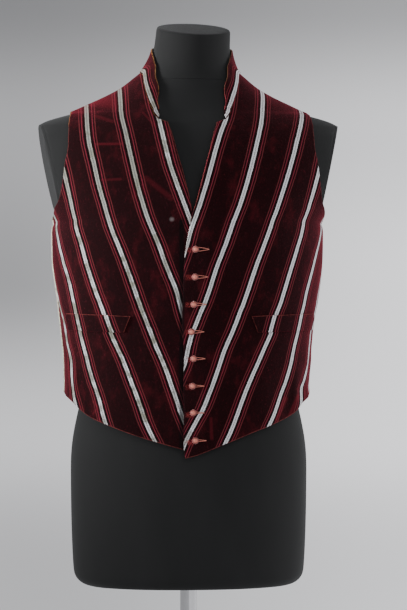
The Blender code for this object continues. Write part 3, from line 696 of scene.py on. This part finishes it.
def run_across(turn, height, side):
    """How far places lie from the centre front, as the stripes' table measures it."""
    sign = 1 if side == "left" else -1
    share = np.linspace(0, 1, 33)
    line = cloth_point(turn[..., None] * share, height[..., None] + 0 * share, VELVET_WALL, side)
    around = np.linalg.norm(np.diff(line, axis=-2), axis=-1).sum(axis=-1) * np.sign(turn) * sign
    straight = line[..., -1, 0] * sign
    return around + (straight - around) * smoothstep(880, 960, height)


def stripe_marks(turn, height, side):
    """The stripe that each place of a front falls on, counted from the centre."""
    run = run_across(turn, height, side)
    lines = [smooth_value(tuple(Run(*row) for row in rows), "run", height) for rows in STRIPES[side]]
    lines = [2 * lines[0] - lines[1]] + lines + [2 * lines[-1] - lines[-2]]
    marks = (run - lines[0]) / (lines[1] - lines[0])
    for index in range(len(lines) - 1):
        gap = lines[index + 1] - lines[index]
        past = run - lines[index]
        near = np.minimum(STRIPE_NEAR, gap * 0.4)
        share = near / STRIPE_REPEAT
        between = share + (past - near) / (gap - 2 * near) * (1 - 2 * share)
        step = np.where(past < near, past / STRIPE_REPEAT, between)
        step = np.where(gap - past < near, 1 - (gap - past) / STRIPE_REPEAT, step)
        marks = np.where(past >= 0, index + step, marks)
    return marks


# Shader maths.

def operator(operation, swapped=False):
    """A method of a field that adds a Math node."""
    def apply(self, other):
        values = (other, self) if swapped else (self, other)
        return self.finish.math(operation, *values)
    return apply


class Field:
    """A value that varies in a finish. Arithmetic on it adds Math nodes."""

    def __init__(self, finish, socket):
        self.finish = finish
        self.socket = socket

    def __abs__(self):
        return self.finish.math("ABSOLUTE", self)

    __add__ = operator("ADD")
    __radd__ = operator("ADD", True)
    __sub__ = operator("SUBTRACT")
    __rsub__ = operator("SUBTRACT", True)
    __mul__ = operator("MULTIPLY")
    __rmul__ = operator("MULTIPLY", True)
    __truediv__ = operator("DIVIDE")
    __rtruediv__ = operator("DIVIDE", True)
    __pow__ = operator("POWER")


class Finish:
    """A material under construction."""

    def __init__(self, name):
        self.material = bpy.data.materials.new(name)
        self.material.use_nodes = True
        self.tree = self.material.node_tree
        self.shader = self.tree.nodes["Principled BSDF"]

    def put(self, socket, value):
        """Link a value that varies, or set a constant one."""
        if isinstance(value, Field):
            self.tree.links.new(value.socket, socket)
            return
        if hasattr(value, "__len__") and len(value) == 3 and len(socket.default_value) == 4:
            value = (*value, 1.0)
        socket.default_value = value

    def node(self, kind, settings, inputs, output=0):
        """Any node: its kind, its settings first, then its sockets' values."""
        made = self.tree.nodes.new("ShaderNode" + kind)
        for name, value in settings.items():
            setattr(made, name, value)
        for key, value in inputs.items():
            self.put(made.inputs[key], value)
        return Field(self, made.outputs[output])

    def math(self, operation, *values):
        return self.node("Math", {"operation": operation}, dict(enumerate(values)))

    def low(self, a, b):
        return self.math("MINIMUM", a, b)

    def high(self, a, b):
        return self.math("MAXIMUM", a, b)

    def step(self, low, high, value):
        """0 below low, 1 above high, smooth between."""
        inputs = {"Value": value, "From Min": low, "From Max": high}
        return self.node("MapRange", {"interpolation_type": "SMOOTHSTEP"}, inputs)

    def line(self, at, centre, half_width, soft):
        """1 on a line of this half width, 0 beside it."""
        return 1 - self.step(half_width - soft, half_width + soft, abs(at - centre))

    def vector(self, operation, inputs, output=0):
        return self.node("VectorMath", {"operation": operation}, inputs, output)

    def noise(self, scale, detail=2.0, rough=0.5, stretch=(1, 1, 1), at=None):
        where = at or self.vector("MULTIPLY", {0: self.place(), 1: stretch})
        inputs = {"Vector": where, "Scale": scale, "Detail": detail, "Roughness": rough}
        return self.node("TexNoise", {}, inputs)

    def place(self):
        """Object coordinates in millimetres."""
        return self.vector("SCALE", {0: self.node("TexCoord", {}, {}, "Object"), "Scale": 1000.0})

    def axes(self, vector):
        made = self.tree.nodes.new("ShaderNodeSeparateXYZ")
        self.put(made.inputs[0], vector)
        return [Field(self, socket) for socket in made.outputs]

    def joined(self, x, y, z=0.0):
        return self.node("CombineXYZ", {}, {0: x, 1: y, 2: z})

    def near_line(self, start, end, half_width):
        """1 on a straight mark between two places of the front view, 0 away from it."""
        x, _, z = self.axes(self.place())
        away = self.vector("SUBTRACT", {0: self.joined(x, z), 1: (*start, 0)})
        reach = (end[0] - start[0], end[1] - start[1], 0)
        along = self.vector("DOT_PRODUCT", {0: away, 1: reach}, "Value")
        share = self.high(self.low(along / (reach[0] ** 2 + reach[1] ** 2), 1), 0)
        foot = self.vector("SCALE", {0: reach, "Scale": share})
        aside = self.vector("DISTANCE", {0: away, 1: foot}, "Value")
        return 1 - self.step(half_width * 0.3, half_width * 1.7, aside)

    def cut(self):
        """The cloth's own map: stripes across, and millimetres along."""
        return self.axes(self.node("UVMap", {"uv_map": "cut"}, {}))[:2]

    def stored(self, name):
        return self.node("Attribute", {"attribute_name": name}, {}, "Fac")

    def mix(self, factor, first, second):
        inputs = {"Factor": factor, 6: first, 7: second}
        return self.node("Mix", {"data_type": "RGBA"}, inputs, 2)

    def raised(self, height, distance, strength):
        return self.node("Bump", {}, {"Height": height, "Distance": distance, "Strength": strength})

    def set(self, **values):
        """Set the shader's sockets, named with spaces as underscores."""
        for name, value in values.items():
            self.put(self.shader.inputs[name.replace("_", " ")], value)


# Marks in the pile, in the front view: two ends, half width and strength. Most are crush marks that wear and
# storage left; the broad one on the wearer's right shoulder and the two at the wearer's left hem are painted
# highlights.
PILE_MARKS_AND_HIGHLIGHTS = (
    ((-134, 957), (-100, 957), 1.8, 0.7),
    ((-136, 999), (-112, 990), 2.4, 0.5),
    ((-129, 906), (-101, 907), 1.8, 0.45),
    ((-66, 908), (-31, 880), 3.5, 0.4),
    ((-69, 1003), (-52, 982), 1.6, 0.5),
    ((24, 574), (25, 547), 2.2, 0.5),
    # Painted highlight on the wearer's right shoulder.
    ((-139, 1026), (-108, 1018), 9.0, 0.7),
    # Painted highlights along two creases at the wearer's left hem.
    ((118, 572), (132, 600), 3.0, 0.8),
    ((138, 576), (151, 603), 2.6, 0.7),
    ((-139, 597), (-125, 580), 1.5, 0.7),
    ((-139, 580), (-125, 597), 1.5, 0.7),
)
WORN_SPOT = (-30.5, 851)


# Measures of a stripe from its middle: where each part's edge starts and ends, and
# how far out the two fine lines lie.
WHITE_EDGE = (2.65, 3.05)
CORE_EDGE = (0.35, 0.85)
MARGIN_EDGE = (4.2, 5.8)
FINE_LINES = (7.6, 11.2)
DOT_SPACING = 2.6


def velvet_finish():
    """Wine silk velvet with white satin stripes between fine red lines."""
    cloth = Finish("wine_striped_velvet")
    stripe, along = cloth.cut()
    x, _, z = cloth.axes(cloth.place())
    aside = (cloth.math("FRACT", stripe + 0.5) - 0.5) * STRIPE_REPEAT
    aside = aside + (cloth.noise(0.09, 1.0) - 0.5) * 0.7
    apart = abs(aside)
    white = 1 - cloth.step(*WHITE_EDGE, apart)
    core = 1 - cloth.step(*CORE_EDGE, apart)
    dots = cloth.step(0.25, 0.75, 0.5 + 0.5 * cloth.math("SINE", along * (2 * math.pi / DOT_SPACING)))
    margin = 1 - cloth.step(*MARGIN_EDGE, apart)
    fine, outer_fine = (cloth.line(apart, middle, 0.65, 0.4) for middle in FINE_LINES)
    mottle = cloth.noise(0.35, 3.0, 0.6)
    pile = cloth.noise(2.2, 2.0, 0.6)
    flecks = cloth.step(0.55, 0.75, cloth.noise(0.42, 4.0, 0.7, (1.0, 1.0, 0.7)))
    crushed = cloth.step(0.50, 0.72, cloth.noise(0.045, 4.0, 0.65, (1.0, 1.0, 0.55)))
    marks = crushed * (0.3 + 0.4 * flecks)
    # Crush marks, and the table's painted highlights, lighten the ground to crimson.
    for start, end, half_width, strength in PILE_MARKS_AND_HIGHLIGHTS:
        marks = cloth.high(marks, cloth.near_line(start, end, half_width) * strength)
    ground = cloth.mix(mottle, (0.0045, 0.0003, 0.0007), (0.0135, 0.0007, 0.0017))
    ground = cloth.mix(marks * (0.5 + pile), ground, (0.075, 0.0045, 0.0085))
    ground = cloth.mix(flecks * 0.55, ground, (0.058, 0.0028, 0.0070))
    # Painted sheen: the base colour turns crimson, in patches, where the cloth faces away from the view. It
    # is half as strong on the wearer's right and weaker at the top.
    facing = cloth.node("LayerWeight", {}, {"Blend": 0.4}, "Facing")
    sheer = 0.2 + 0.5 * mottle + 1.5 * flecks + 0.5 * pile
    painted_light = facing ** 2.2 * (0.05 + 1.3 * cloth.noise(0.05, 4.0, 0.65) * sheer)
    painted_light = painted_light * (0.5 + 0.5 * cloth.step(-110, 40, x)) * (1 - 0.35 * cloth.step(930, 1010, z))
    ground = cloth.mix(cloth.low(painted_light, 1), ground, (0.21, 0.0085, 0.028))
    colour = cloth.mix(fine * (0.4 + 0.8 * pile), ground, (0.19, 0.021, 0.036))
    colour = cloth.mix(outer_fine * (0.3 + 0.7 * pile), colour, (0.16, 0.024, 0.030))
    colour = cloth.mix(margin * 0.8, colour, (0.0030, 0.0010, 0.0014))
    satin = cloth.mix(mottle, (0.43, 0.425, 0.44), (0.72, 0.70, 0.73))
    age = cloth.step(60, -70, x) * cloth.step(0.38, 0.62, cloth.noise(0.06, 3.0, 0.6))
    age = cloth.high(age, cloth.step(-20, -70, x) * cloth.step(760, 900, z) * 0.85)
    satin = cloth.mix(age * 0.9, satin, (0.165, 0.155, 0.110))
    colour = cloth.mix(white, colour, satin)
    colour = cloth.mix(core * (0.5 + 0.45 * dots), colour, (0.060, 0.080, 0.078))
    level = (cloth.math("FRACT", (z - BUTTON_TOP) / BUTTON_SPACING + 0.5) - 0.5) * BUTTON_SPACING
    closed = 1 - cloth.step(822, 828, z)
    frayed = cloth.line(x, -5.5, 5.5, 2.5) * cloth.line(level, -1.5, 3.4, 1.8) * closed
    frayed = frayed * cloth.step(0.42, 0.62, cloth.noise(0.8, 2.0, 0.6))
    colour = cloth.mix(frayed * 0.85, colour, (0.23, 0.030, 0.030))
    # Painted shadow: a near-black strip on the under front beside the closing edge, below the neckline.
    painted_shadow = cloth.line(x, -16.5, 3.5, 2.0) * (1 - cloth.step(848, 856, z))
    colour = cloth.mix(painted_shadow * 0.8, colour, (0.0012, 0.0006, 0.0008))
    spot = cloth.near_line(WORN_SPOT, (WORN_SPOT[0] + 0.5, WORN_SPOT[1]), 2.6)
    colour = cloth.mix(spot * 0.6, colour, (0.16, 0.13, 0.13))
    rubbed = 1 - cloth.step(0.5, 1.5, cloth.stored("edge"))
    rubbed = rubbed * (0.2 + 0.55 * cloth.step(0.35, 0.6, cloth.noise(0.25)))
    gilt = cloth.step(-20, -45, x) * cloth.step(975, 1000, z)
    rub_colour = cloth.mix(gilt, (0.14, 0.030, 0.026), (0.36, 0.17, 0.055))
    colour = cloth.mix(rubbed * (1 - white * 0.7), colour, rub_colour)
    relief = pile * 0.5 + flecks * 0.8 + mottle * 1.2 + white * -0.55 + margin * -0.35
    cloth.set(
        Base_Color=colour,
        Roughness=0.92 - white * 0.42,
        Normal=cloth.raised(relief, 0.0007, 0.7),
        Specular_IOR_Level=0.10,
        Sheen_Weight=0.3,
        Sheen_Roughness=0.33,
        Sheen_Tint=(0.50, 0.018, 0.055),
    )
    return cloth.material


def lining_finish():
    """The plain brown cotton that faces the velvet inside."""
    cloth = Finish("brown_cotton_lining")
    x, y, z = cloth.axes(cloth.place())
    weave = cloth.math("SINE", (x + y) * 9.0) * cloth.math("SINE", z * 9.0)
    wear = cloth.noise(0.12, 3.0)
    colour = cloth.mix(wear, (0.13, 0.060, 0.026), (0.27, 0.135, 0.062))
    cloth.set(
        Base_Color=colour,
        Roughness=0.88,
        Normal=cloth.raised(weave, 0.00008, 0.5),
        Specular_IOR_Level=0.2,
        Sheen_Weight=0.1,
    )
    return cloth.material


def cotton_finish():
    """Light cotton printed all over with small olive specks and sprigs."""
    cloth = Finish("printed_back_cotton")
    across, along = cloth.cut()
    spot = cloth.joined(across, along)
    inputs = {"Vector": spot, "Scale": 0.2, "Randomness": 0.75}
    cells = cloth.node("TexVoronoi", {"feature": "F1"}, inputs, "Distance")
    shape = cloth.noise(0.55, 2.0, 0.6, at=spot)
    sprig = cloth.step(0.02, 0.10, 0.47 - cells + (shape - 0.5) * 0.75)
    stems = cloth.line(cloth.noise(0.24, 1.0, 0.5, at=spot), 0.5, 0.016, 0.01)
    print_mask = cloth.high(sprig * 0.85, stems * 0.8)
    worn = cloth.noise(0.05, 3.0)
    ground = cloth.mix(worn, (0.50, 0.46, 0.35), (0.66, 0.62, 0.50))
    ink = cloth.mix(shape, (0.050, 0.052, 0.026), (0.115, 0.110, 0.058))
    colour = cloth.mix(print_mask, ground, ink)
    weave = cloth.math("SINE", across * 7.5) * cloth.math("SINE", along * 7.5)
    sewn = cloth.line(cloth.stored("edge"), 4.0, 0.35, 0.2)
    stitch = sewn * cloth.step(-0.2, 0.2, cloth.math("SINE", (across + along) * 2.0))
    colour = cloth.mix(stitch * 0.5, colour, (0.30, 0.27, 0.19))
    cloth.set(
        Base_Color=colour,
        Roughness=0.9,
        Normal=cloth.raised(weave - stitch * 2.5, 0.00009, 0.6),
        Specular_IOR_Level=0.25,
        Sheen_Weight=0.08,
    )
    return cloth.material


def thread_finish():
    """Salmon silk thread, faded unevenly."""
    thread = Finish("salmon_silk_thread")
    strands = thread.noise(1.6, 3.0, 0.6)
    faded = thread.noise(0.18, 2.0)
    colour = thread.mix(strands, (0.32, 0.060, 0.046), (0.72, 0.25, 0.18))
    colour = thread.mix(faded * 0.4, colour, (0.55, 0.20, 0.14))
    # Painted shade: the buttons darken towards their rims, leaving their middles light.
    rim = thread.step(0.35, 0.8, thread.stored("rim"))
    colour = thread.mix(rim * 0.9, colour, (0.15, 0.022, 0.020))
    thread.set(
        Base_Color=colour,
        Roughness=0.62,
        Normal=thread.raised(strands, 0.00025, 0.8),
        Specular_IOR_Level=0.35,
        Sheen_Weight=0.2,
    )
    return thread.material


def jersey_finish():
    """Black stretch jersey over the padded form."""
    jersey = Finish("black_form_jersey")
    x, y, z = jersey.axes(jersey.place())
    wales = jersey.math("SINE", (x + y * 0.6) * 5.2) * jersey.math("SINE", z * 4.4)
    pull = jersey.noise(0.02, 2.0, 0.5, (1.0, 1.0, 0.35))
    lint = jersey.step(0.70, 0.76, jersey.noise(1.1, 2.0, 0.6))
    colour = jersey.mix(pull, (0.0085, 0.0088, 0.0090), (0.0130, 0.0133, 0.0135))
    colour = jersey.mix(lint * 0.35, colour, (0.05, 0.05, 0.05))
    jersey.set(
        Base_Color=colour,
        Roughness=0.9,
        Normal=jersey.raised(wales * 0.4 + pull * 6.0, 0.00012, 0.6),
        Specular_IOR_Level=0.2,
        Sheen_Weight=0.05,
        Sheen_Roughness=0.4,
        Sheen_Tint=(0.9, 0.92, 0.94),
    )
    return jersey.material


def chrome_finish():
    metal = Finish("polished_chrome")
    smears = metal.noise(0.04, 3.0, 0.6)
    drawn = metal.noise(0.5, 2.0, 0.5, (1.0, 1.0, 0.02))
    metal.set(
        Base_Color=metal.mix(smears, (0.44, 0.44, 0.45), (0.56, 0.56, 0.57)),
        Roughness=0.07 + 0.09 * smears,
        Metallic=1.0,
        Normal=metal.raised(drawn, 0.00002, 0.3),
    )
    return metal.material


def studio_finish():
    """Grey paper that glows with painted light, unevenly: darker at the top and on the viewer's left."""
    paper = Finish("grey_studio_paper")
    x, y, z = (axis / 1000 for axis in paper.axes(paper.place()))
    depth = paper.high(y + 3.0, 1.5)
    side = paper.step(-1.2, 1.2, (x - 0.0612 * depth) / (0.0979 * depth))
    rise = z + 0.1 * paper.low(y - 6.75, 0)
    left = (
        0.40 + 0.29 * paper.step(-0.46, 0.1, rise) - 0.45 * paper.step(0.1, 0.87, rise)
        + 0.07 * paper.step(0.87, 1.6, rise) - 0.23 * paper.step(1.7, 2.5, rise)
    )
    right = (
        0.82 + 0.34 * paper.step(-0.46, 0.1, rise) - 0.32 * paper.step(0.9, 1.72, rise)
        - 0.58 * paper.step(1.7, 2.5, rise)
    )
    # Painted light: the paper glows with this gradient in place of being lit unevenly.
    painted_light = left + (right - left) * side
    paper.set(
        Base_Color=(0.30, 0.30, 0.305),
        Emission_Color=paper.joined(painted_light, painted_light, painted_light * 1.03),
        Emission_Strength=1.0,
        Roughness=0.95,
        Specular_IOR_Level=0.1,
    )
    return paper.material


velvet = velvet_finish()
lining = lining_finish()
cotton = cotton_finish()
thread = thread_finish()
jersey = jersey_finish()
chrome = chrome_finish()


# The waistcoat's cloth.

def make_front(side):
    over = rimmed(ACROSS_STEPS * FINER, 190, VELVET_WALL)
    up = rimmed(FRONT_ROWS * FINER, 500, VELVET_WALL)
    places = front_places(side, up, over)
    sign = 1 if side == "left" else -1
    turn, height = sign * places[..., 0], places[..., 1]
    middle = cloth_point(turn, height, VELVET_WALL / 2, side, True)
    edge, from_centre, length = edge_distance(middle)
    marks = np.stack([stripe_marks(turn, height, side), length], axis=-1)
    closing = (1 - smoothstep(848, 866, height)) * (1 - smoothstep(6, 14, from_centre))
    worn = edge + 9 * closing * smoothstep(2.5, 6, length)
    grids = middle, VELVET_WALL, marks, worn
    return sewn_panel("velvet_front_" + side, "front_" + side, *turned(side, grids), [velvet, lining])


def make_back():
    over = rimmed((2 * BACK_SHOULDER_STEPS + BACK_NECK_STEPS) * FINER, 560, COTTON_WALL)
    up = rimmed(FRONT_ROWS * 4, 500, COTTON_WALL)
    places = back_places(up, over)
    middle = cloth_point(places[..., 0], places[..., 1], COTTON_WALL / 2, None, True)
    edge, around, length = edge_distance(middle)
    marks = np.stack([around, length], axis=-1)
    return sewn_panel("cotton_back", "back", middle, COTTON_WALL, marks, edge, [cotton], "back_cotton")


COLLAR_STRIPE_RISE = 3.6


def make_collar():
    over = rimmed(220, 430, VELVET_WALL)
    up = rimmed(22, 42, VELVET_WALL)
    inner = collar_points(up, over)
    middle = inner + grid_normals(inner) * (VELVET_WALL / 2)
    _, around, rise = edge_distance(middle)
    marks = np.stack([1 + (rise - COLLAR_STRIPE_RISE) / STRIPE_REPEAT, around], axis=-1)
    worn = rise[-1:] - rise
    return sewn_panel("velvet_collar", "collar", middle, VELVET_WALL, marks, worn, [velvet, lining])


WELT_STRIPE_SHIFT = 0.06


def make_welt(side):
    over = rimmed(60, 95, WELT_WALL)
    up = rimmed(16, 23, WELT_WALL)
    places = welt_places(side, up, over)
    sign = 1 if side == "left" else -1
    turn, height = sign * places[..., 0], places[..., 1]
    middle = cloth_point(turn, height, VELVET_WALL + LAID_GAP + WELT_WALL / 2, side, True)
    _, from_end, length = edge_distance(middle)
    marks = np.stack([stripe_marks(turn, height, side) + WELT_STRIPE_SHIFT, length], axis=-1)
    worn = np.minimum(from_end, length[-1:] - length)
    grids = middle, WELT_WALL, marks, worn
    return sewn_panel("pocket_welt_" + side, "welt_" + side, *turned(side, grids), [velvet])


front_left = make_front("left")
front_right = make_front("right")
back = make_back()
collar = make_collar()
welts = {side: make_welt(side) for side in ("left", "right")}


# Rigid pieces, modelled by hand.

def start_piece():
    if bpy.context.object and bpy.context.object.mode != "OBJECT":
        bpy.ops.object.mode_set(mode="OBJECT")
    bpy.ops.object.select_all(action="DESELECT")


def finish_piece(name, finish, angle, node=None):
    """Name the active piece, apply its place, and give it its finish."""
    item = bpy.context.object
    if item.mode != "OBJECT":
        bpy.ops.object.mode_set(mode="OBJECT")
    item.name = name
    item.data.name = name
    bpy.ops.object.transform_apply(location=True, rotation=True, scale=True)
    bpy.ops.object.shade_smooth_by_angle(angle=math.radians(angle))
    item.data.materials.clear()
    item.data.materials.append(finish)
    ride(item)
    if node:
        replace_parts(item, node)


def select_parts(item, kind, chosen):
    """Select the verts, edges or faces that pass a test, in edit mode."""
    bpy.ops.object.mode_set(mode="EDIT")
    bpy.ops.mesh.select_mode(type=kind)
    bpy.ops.mesh.select_all(action="DESELECT")
    mesh = bmesh.from_edit_mesh(item.data)
    for part in {"VERT": mesh.verts, "EDGE": mesh.edges, "FACE": mesh.faces}[kind]:
        part.select = chosen(part)
    mesh.select_flush_mode()
    bmesh.update_edit_mesh(item.data)


def apply_modifier(item, kind, **settings):
    bpy.ops.object.mode_set(mode="OBJECT")
    modifier = item.modifiers.new(kind.lower(), kind)
    for name, value in settings.items():
        setattr(modifier, name, value)
    bpy.ops.object.modifier_apply(modifier=modifier.name)


RIM_ANGLE = 32
QUAD_ANGLE = math.radians(50)


def is_rim(edge):
    return len(edge.link_faces) == 2 and edge.calc_face_angle() > math.radians(RIM_ANGLE)


def finer_form(node, name):
    """A smooth copy of one of the form's solids."""
    start_piece()
    item = placed(name, nodes[node].data.copy())
    bpy.context.view_layer.objects.active = item
    item.select_set(True)
    bpy.ops.object.mode_set(mode="EDIT")
    bpy.ops.mesh.select_all(action="SELECT")
    bpy.ops.mesh.remove_doubles(threshold=0.00002)
    bpy.ops.mesh.tris_convert_to_quads(face_threshold=QUAD_ANGLE, shape_threshold=QUAD_ANGLE)
    select_parts(item, "EDGE", is_rim)
    bpy.ops.transform.edge_crease(value=1.0)
    apply_modifier(item, "SUBSURF", levels=2, render_levels=2)
    finish_piece(name, jersey, RIM_ANGLE, node)


for node, name in (
    ("form_torso", "jersey_torso"),
    ("form_neck", "jersey_neck"),
    ("form_arm_plate_left", "jersey_plate_left"),
    ("form_arm_plate_right", "jersey_plate_right"),
):
    finer_form(node, name)


def make_pole():
    start_piece()
    low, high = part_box("pole")
    length = high[2] - low[2]
    middle = (low[2] + high[2]) / 2
    bpy.ops.mesh.primitive_cylinder_add(vertices=64, radius=0.0125, depth=length, location=(0, 0, middle))
    finish_piece("chrome_pole", chrome, 35, "pole")


def make_base():
    start_piece()
    low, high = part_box("base")
    thick = high[2] - low[2]
    bpy.ops.mesh.primitive_cylinder_add(vertices=128, radius=high[0], depth=thick, location=(0, 0, thick / 2))
    select_parts(bpy.context.object, "EDGE", lambda edge: all(vert.co.z > 0 for vert in edge.verts))
    bpy.ops.mesh.bevel(offset=0.0025, segments=5, profile=0.6)
    finish_piece("chrome_base", chrome, 50, "base")


make_pole()
make_base()


def button_seat(index):
    """Where a button rests on the left front, and which way it faces."""
    height = BUTTON_TOP - index * BUTTON_SPACING
    turn = turn_at(BUTTON_ACROSS[index] - smooth_value(EASE_ROWS, "sway", height), height)
    seat, above, below = (
        Vector(cloth_point(turn, height + rise, VELVET_WALL + gap, "left"))
        for rise, gap in ((0, BUTTON_GAP), (3, 0), (-3, 0))
    )
    outward = Vector((1, 0, 0)).cross(above - below).normalized()
    return Matrix.Translation(seat * MM) @ outward.to_track_quat("Z", "Y").to_matrix().to_4x4()


BUTTON_CUT = 1.2
BUTTON_RIBS = 10
RIB_DEPTH = 0.93
RIB_TWIST = -0.76
PLAIN_TOP = 1.2


def is_between_ribs(vert):
    hollow = math.cos(BUTTON_RIBS * math.atan2(vert.co.y, vert.co.x)) < -0.1
    return hollow and vert.co.xy.length > PLAIN_TOP * MM


def make_button():
    """A domed button worked over with thread, its ribs wound from the rim."""
    start_piece()
    bpy.ops.mesh.primitive_uv_sphere_add(segments=40, ring_count=18, radius=BUTTON_RADIUS * MM)
    item = bpy.context.object
    bpy.ops.object.mode_set(mode="EDIT")
    bpy.ops.mesh.select_all(action="SELECT")
    bpy.ops.mesh.bisect(
        plane_co=(0, 0, -BUTTON_CUT * MM), plane_no=(0, 0, -1), use_fill=True, clear_outer=True
    )
    bpy.ops.mesh.select_all(action="SELECT")
    bpy.ops.transform.translate(value=(0, 0, BUTTON_CUT * MM))
    scale = (BUTTON_DOME + BUTTON_RIM) / (BUTTON_RADIUS + BUTTON_CUT)
    bpy.ops.transform.resize(value=(1, 1, scale), center_override=(0, 0, 0))
    select_parts(item, "VERT", is_between_ribs)
    bpy.ops.transform.resize(value=(RIB_DEPTH, RIB_DEPTH, 1), center_override=(0, 0, 0))
    apply_modifier(item, "SIMPLE_DEFORM", deform_method="TWIST", deform_axis="Z", angle=RIB_TWIST)
    finish_piece("button", thread, 60)
    # How far each point lies from the button's axis, as a share of its radius, for the painted shade towards
    # the rim.
    rim = item.data.attributes.new("rim", "FLOAT", "POINT")
    reach = [vert.co.xy.length / (BUTTON_RADIUS * MM) for vert in item.data.vertices]
    rim.data.foreach_set("value", reach)
    return item


pattern_button = make_button()
for index in range(len(BUTTON_ACROSS)):
    item = placed(f"thread_button_{index + 1}", pattern_button.data.copy())
    item.data.transform(button_seat(index))
    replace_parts(ride(item), f"button_{index + 1}")
bpy.data.objects.remove(pattern_button, do_unlink=True)


# Buttonholes and their silk edging.

EDGING_OUT = 0.12
EDGING_RADIUS = 0.46
EDGING_UNEVEN = 0.12
HOLE_START = 2.5
HOLE_LENGTH = (16.5, 15.5, 15, 15, 14, 14, 13, 13)
HOLE_HALF = (2.9, 2.5, 2.1, 2.2, 1.8, 1.6, 1.4, 1.3)


def on_left_front(across, height, out):
    """Points over the left front, at distances across and heights."""
    low = np.full(np.shape(across), -0.3)

    def is_short(turn):
        return cloth_point(turn, height, VELVET_WALL, "left")[..., 0] < across

    return cloth_point(halved(low, low + 0.9, is_short), height, VELVET_WALL + out, "left", True)


def tube(line, radius, sides=7):
    """Points and faces of a closed round tube along a closed line."""
    count = len(line)
    ahead = unit(np.roll(line, -1, axis=0) - np.roll(line, 1, axis=0))
    aside = unit(np.cross(ahead, np.array([0.0, -1.0, 0.05])))
    above = np.cross(ahead, aside)
    angle = np.linspace(0, 2 * math.pi, sides, endpoint=False)
    ring = np.cos(angle)[None, :, None] * aside[:, None] + np.sin(angle)[None, :, None] * above[:, None]
    points = line[:, None] + ring * np.reshape(radius, (-1, 1, 1))
    numbers = np.arange(count * sides).reshape(count, sides)
    after = np.roll(numbers, -1, axis=0)
    faces = np.stack([
        numbers, np.roll(numbers, -1, axis=1), np.roll(after, -1, axis=1), after
    ], -1).reshape(-1, 4)
    return points.reshape(-1, 3), faces


def make_buttonhole(index):
    height = BUTTON_TOP - index * BUTTON_SPACING
    t = np.linspace(0, 1, 60)
    bulge = HOLE_HALF[index] * (1 - t) ** 0.75 * smoothstep(-0.2, 0.12, t)
    across = BUTTON_ACROSS[index] + HOLE_START + HOLE_LENGTH[index] * t
    loop_across = np.concatenate([across, across[-2:0:-1]])
    loop_height = height + np.concatenate([bulge, -bulge[-2:0:-1]])
    line = on_left_front(loop_across, loop_height, EDGING_OUT)
    radius = EDGING_RADIUS + EDGING_UNEVEN * np.sin(np.arange(len(line)) * 1.9)
    points, faces = tube(line, radius)
    add_piece(f"buttonhole_{index + 1}", points, faces, [thread])


for index in range(len(BUTTON_ACROSS)):
    make_buttonhole(index)

for side, welt in welts.items():
    "velvet_front_" + side


# The studio.

def make_studio():
    start_piece()
    bpy.ops.mesh.primitive_cylinder_add(vertices=160, radius=9.0, depth=8.0, location=(0, 0, 4.0))
    item = bpy.context.object
    select_parts(item, "FACE", lambda face: face.normal.z > 0.5)
    bpy.ops.mesh.delete(type="FACE")
    select_parts(item, "EDGE", lambda edge: all(vert.co.z < 0 for vert in edge.verts))
    bpy.ops.mesh.bevel(offset=3.0, segments=16, profile=0.5)
    bpy.ops.mesh.select_all(action="SELECT")
    bpy.ops.mesh.flip_normals()
    bpy.ops.object.mode_set(mode="OBJECT")
    item.name = "studio"
    bpy.ops.object.transform_apply(location=True, rotation=True, scale=True)
    bpy.ops.object.shade_smooth()
    item.data.materials.append(studio_finish())


def add_light(name, spot, towards, size, power, spread=180):
    data = bpy.data.lights.new(name, "AREA")
    data.shape = "RECTANGLE"
    data.size, data.size_y = size
    data.energy = power
    data.spread = math.radians(spread)
    item = placed(name, data)
    item.location = spot
    item.rotation_mode = "QUATERNION"
    item.rotation_quaternion = (Vector(towards) - Vector(spot)).to_track_quat("-Z", "Y")
    item.visible_camera = False


def light_studio():
    add_light("front_softbox", (0.4, -3.2, 2.0), (0, 0, 0.8), (1.6, 1.6), 36)
    add_light("left_grid_light", (-2.4, -0.3, 1.15), (-0.15, 0, 1.0), (0.7, 0.7), 8.0, 40)
    add_light("right_softbox", (2.3, 0.5, 1.3), (0, 0, 0.8), (0.9, 1.8), 30)
    add_light("top_softbox", (0, 0.8, 3.2), (0, 0, 0.8), (2.0, 1.4), 12)
    world = bpy.data.worlds.new("studio_air")
    bpy.context.scene.world = world
    world.use_nodes = True
    air = world.node_tree.nodes["Background"]
    air.inputs["Color"].default_value = (0.92, 0.93, 0.95, 1)
    air.inputs["Strength"].default_value = 0.5


CAMERA_YAW = math.radians(3.5)
CAMERA_HEIGHT = 0.732
CAMERA_DISTANCE = 3.0
CAMERA_ASIDE = 0.0215
CAMERA_LENS = 122.1


def set_camera():
    ahead = Vector((math.sin(CAMERA_YAW), math.cos(CAMERA_YAW), 0))
    aside = Vector((math.cos(CAMERA_YAW), -math.sin(CAMERA_YAW), 0))
    data = bpy.data.cameras.new("camera")
    data.lens = CAMERA_LENS
    data.sensor_width = 36
    item = placed("camera", data)
    item.location = Vector((0, 0, CAMERA_HEIGHT)) - ahead * CAMERA_DISTANCE + aside * CAMERA_ASIDE
    item.rotation_mode = "QUATERNION"
    item.rotation_quaternion = ahead.to_track_quat("-Z", "Y")
    bpy.context.scene.camera = item


make_studio()
light_studio()
set_camera()
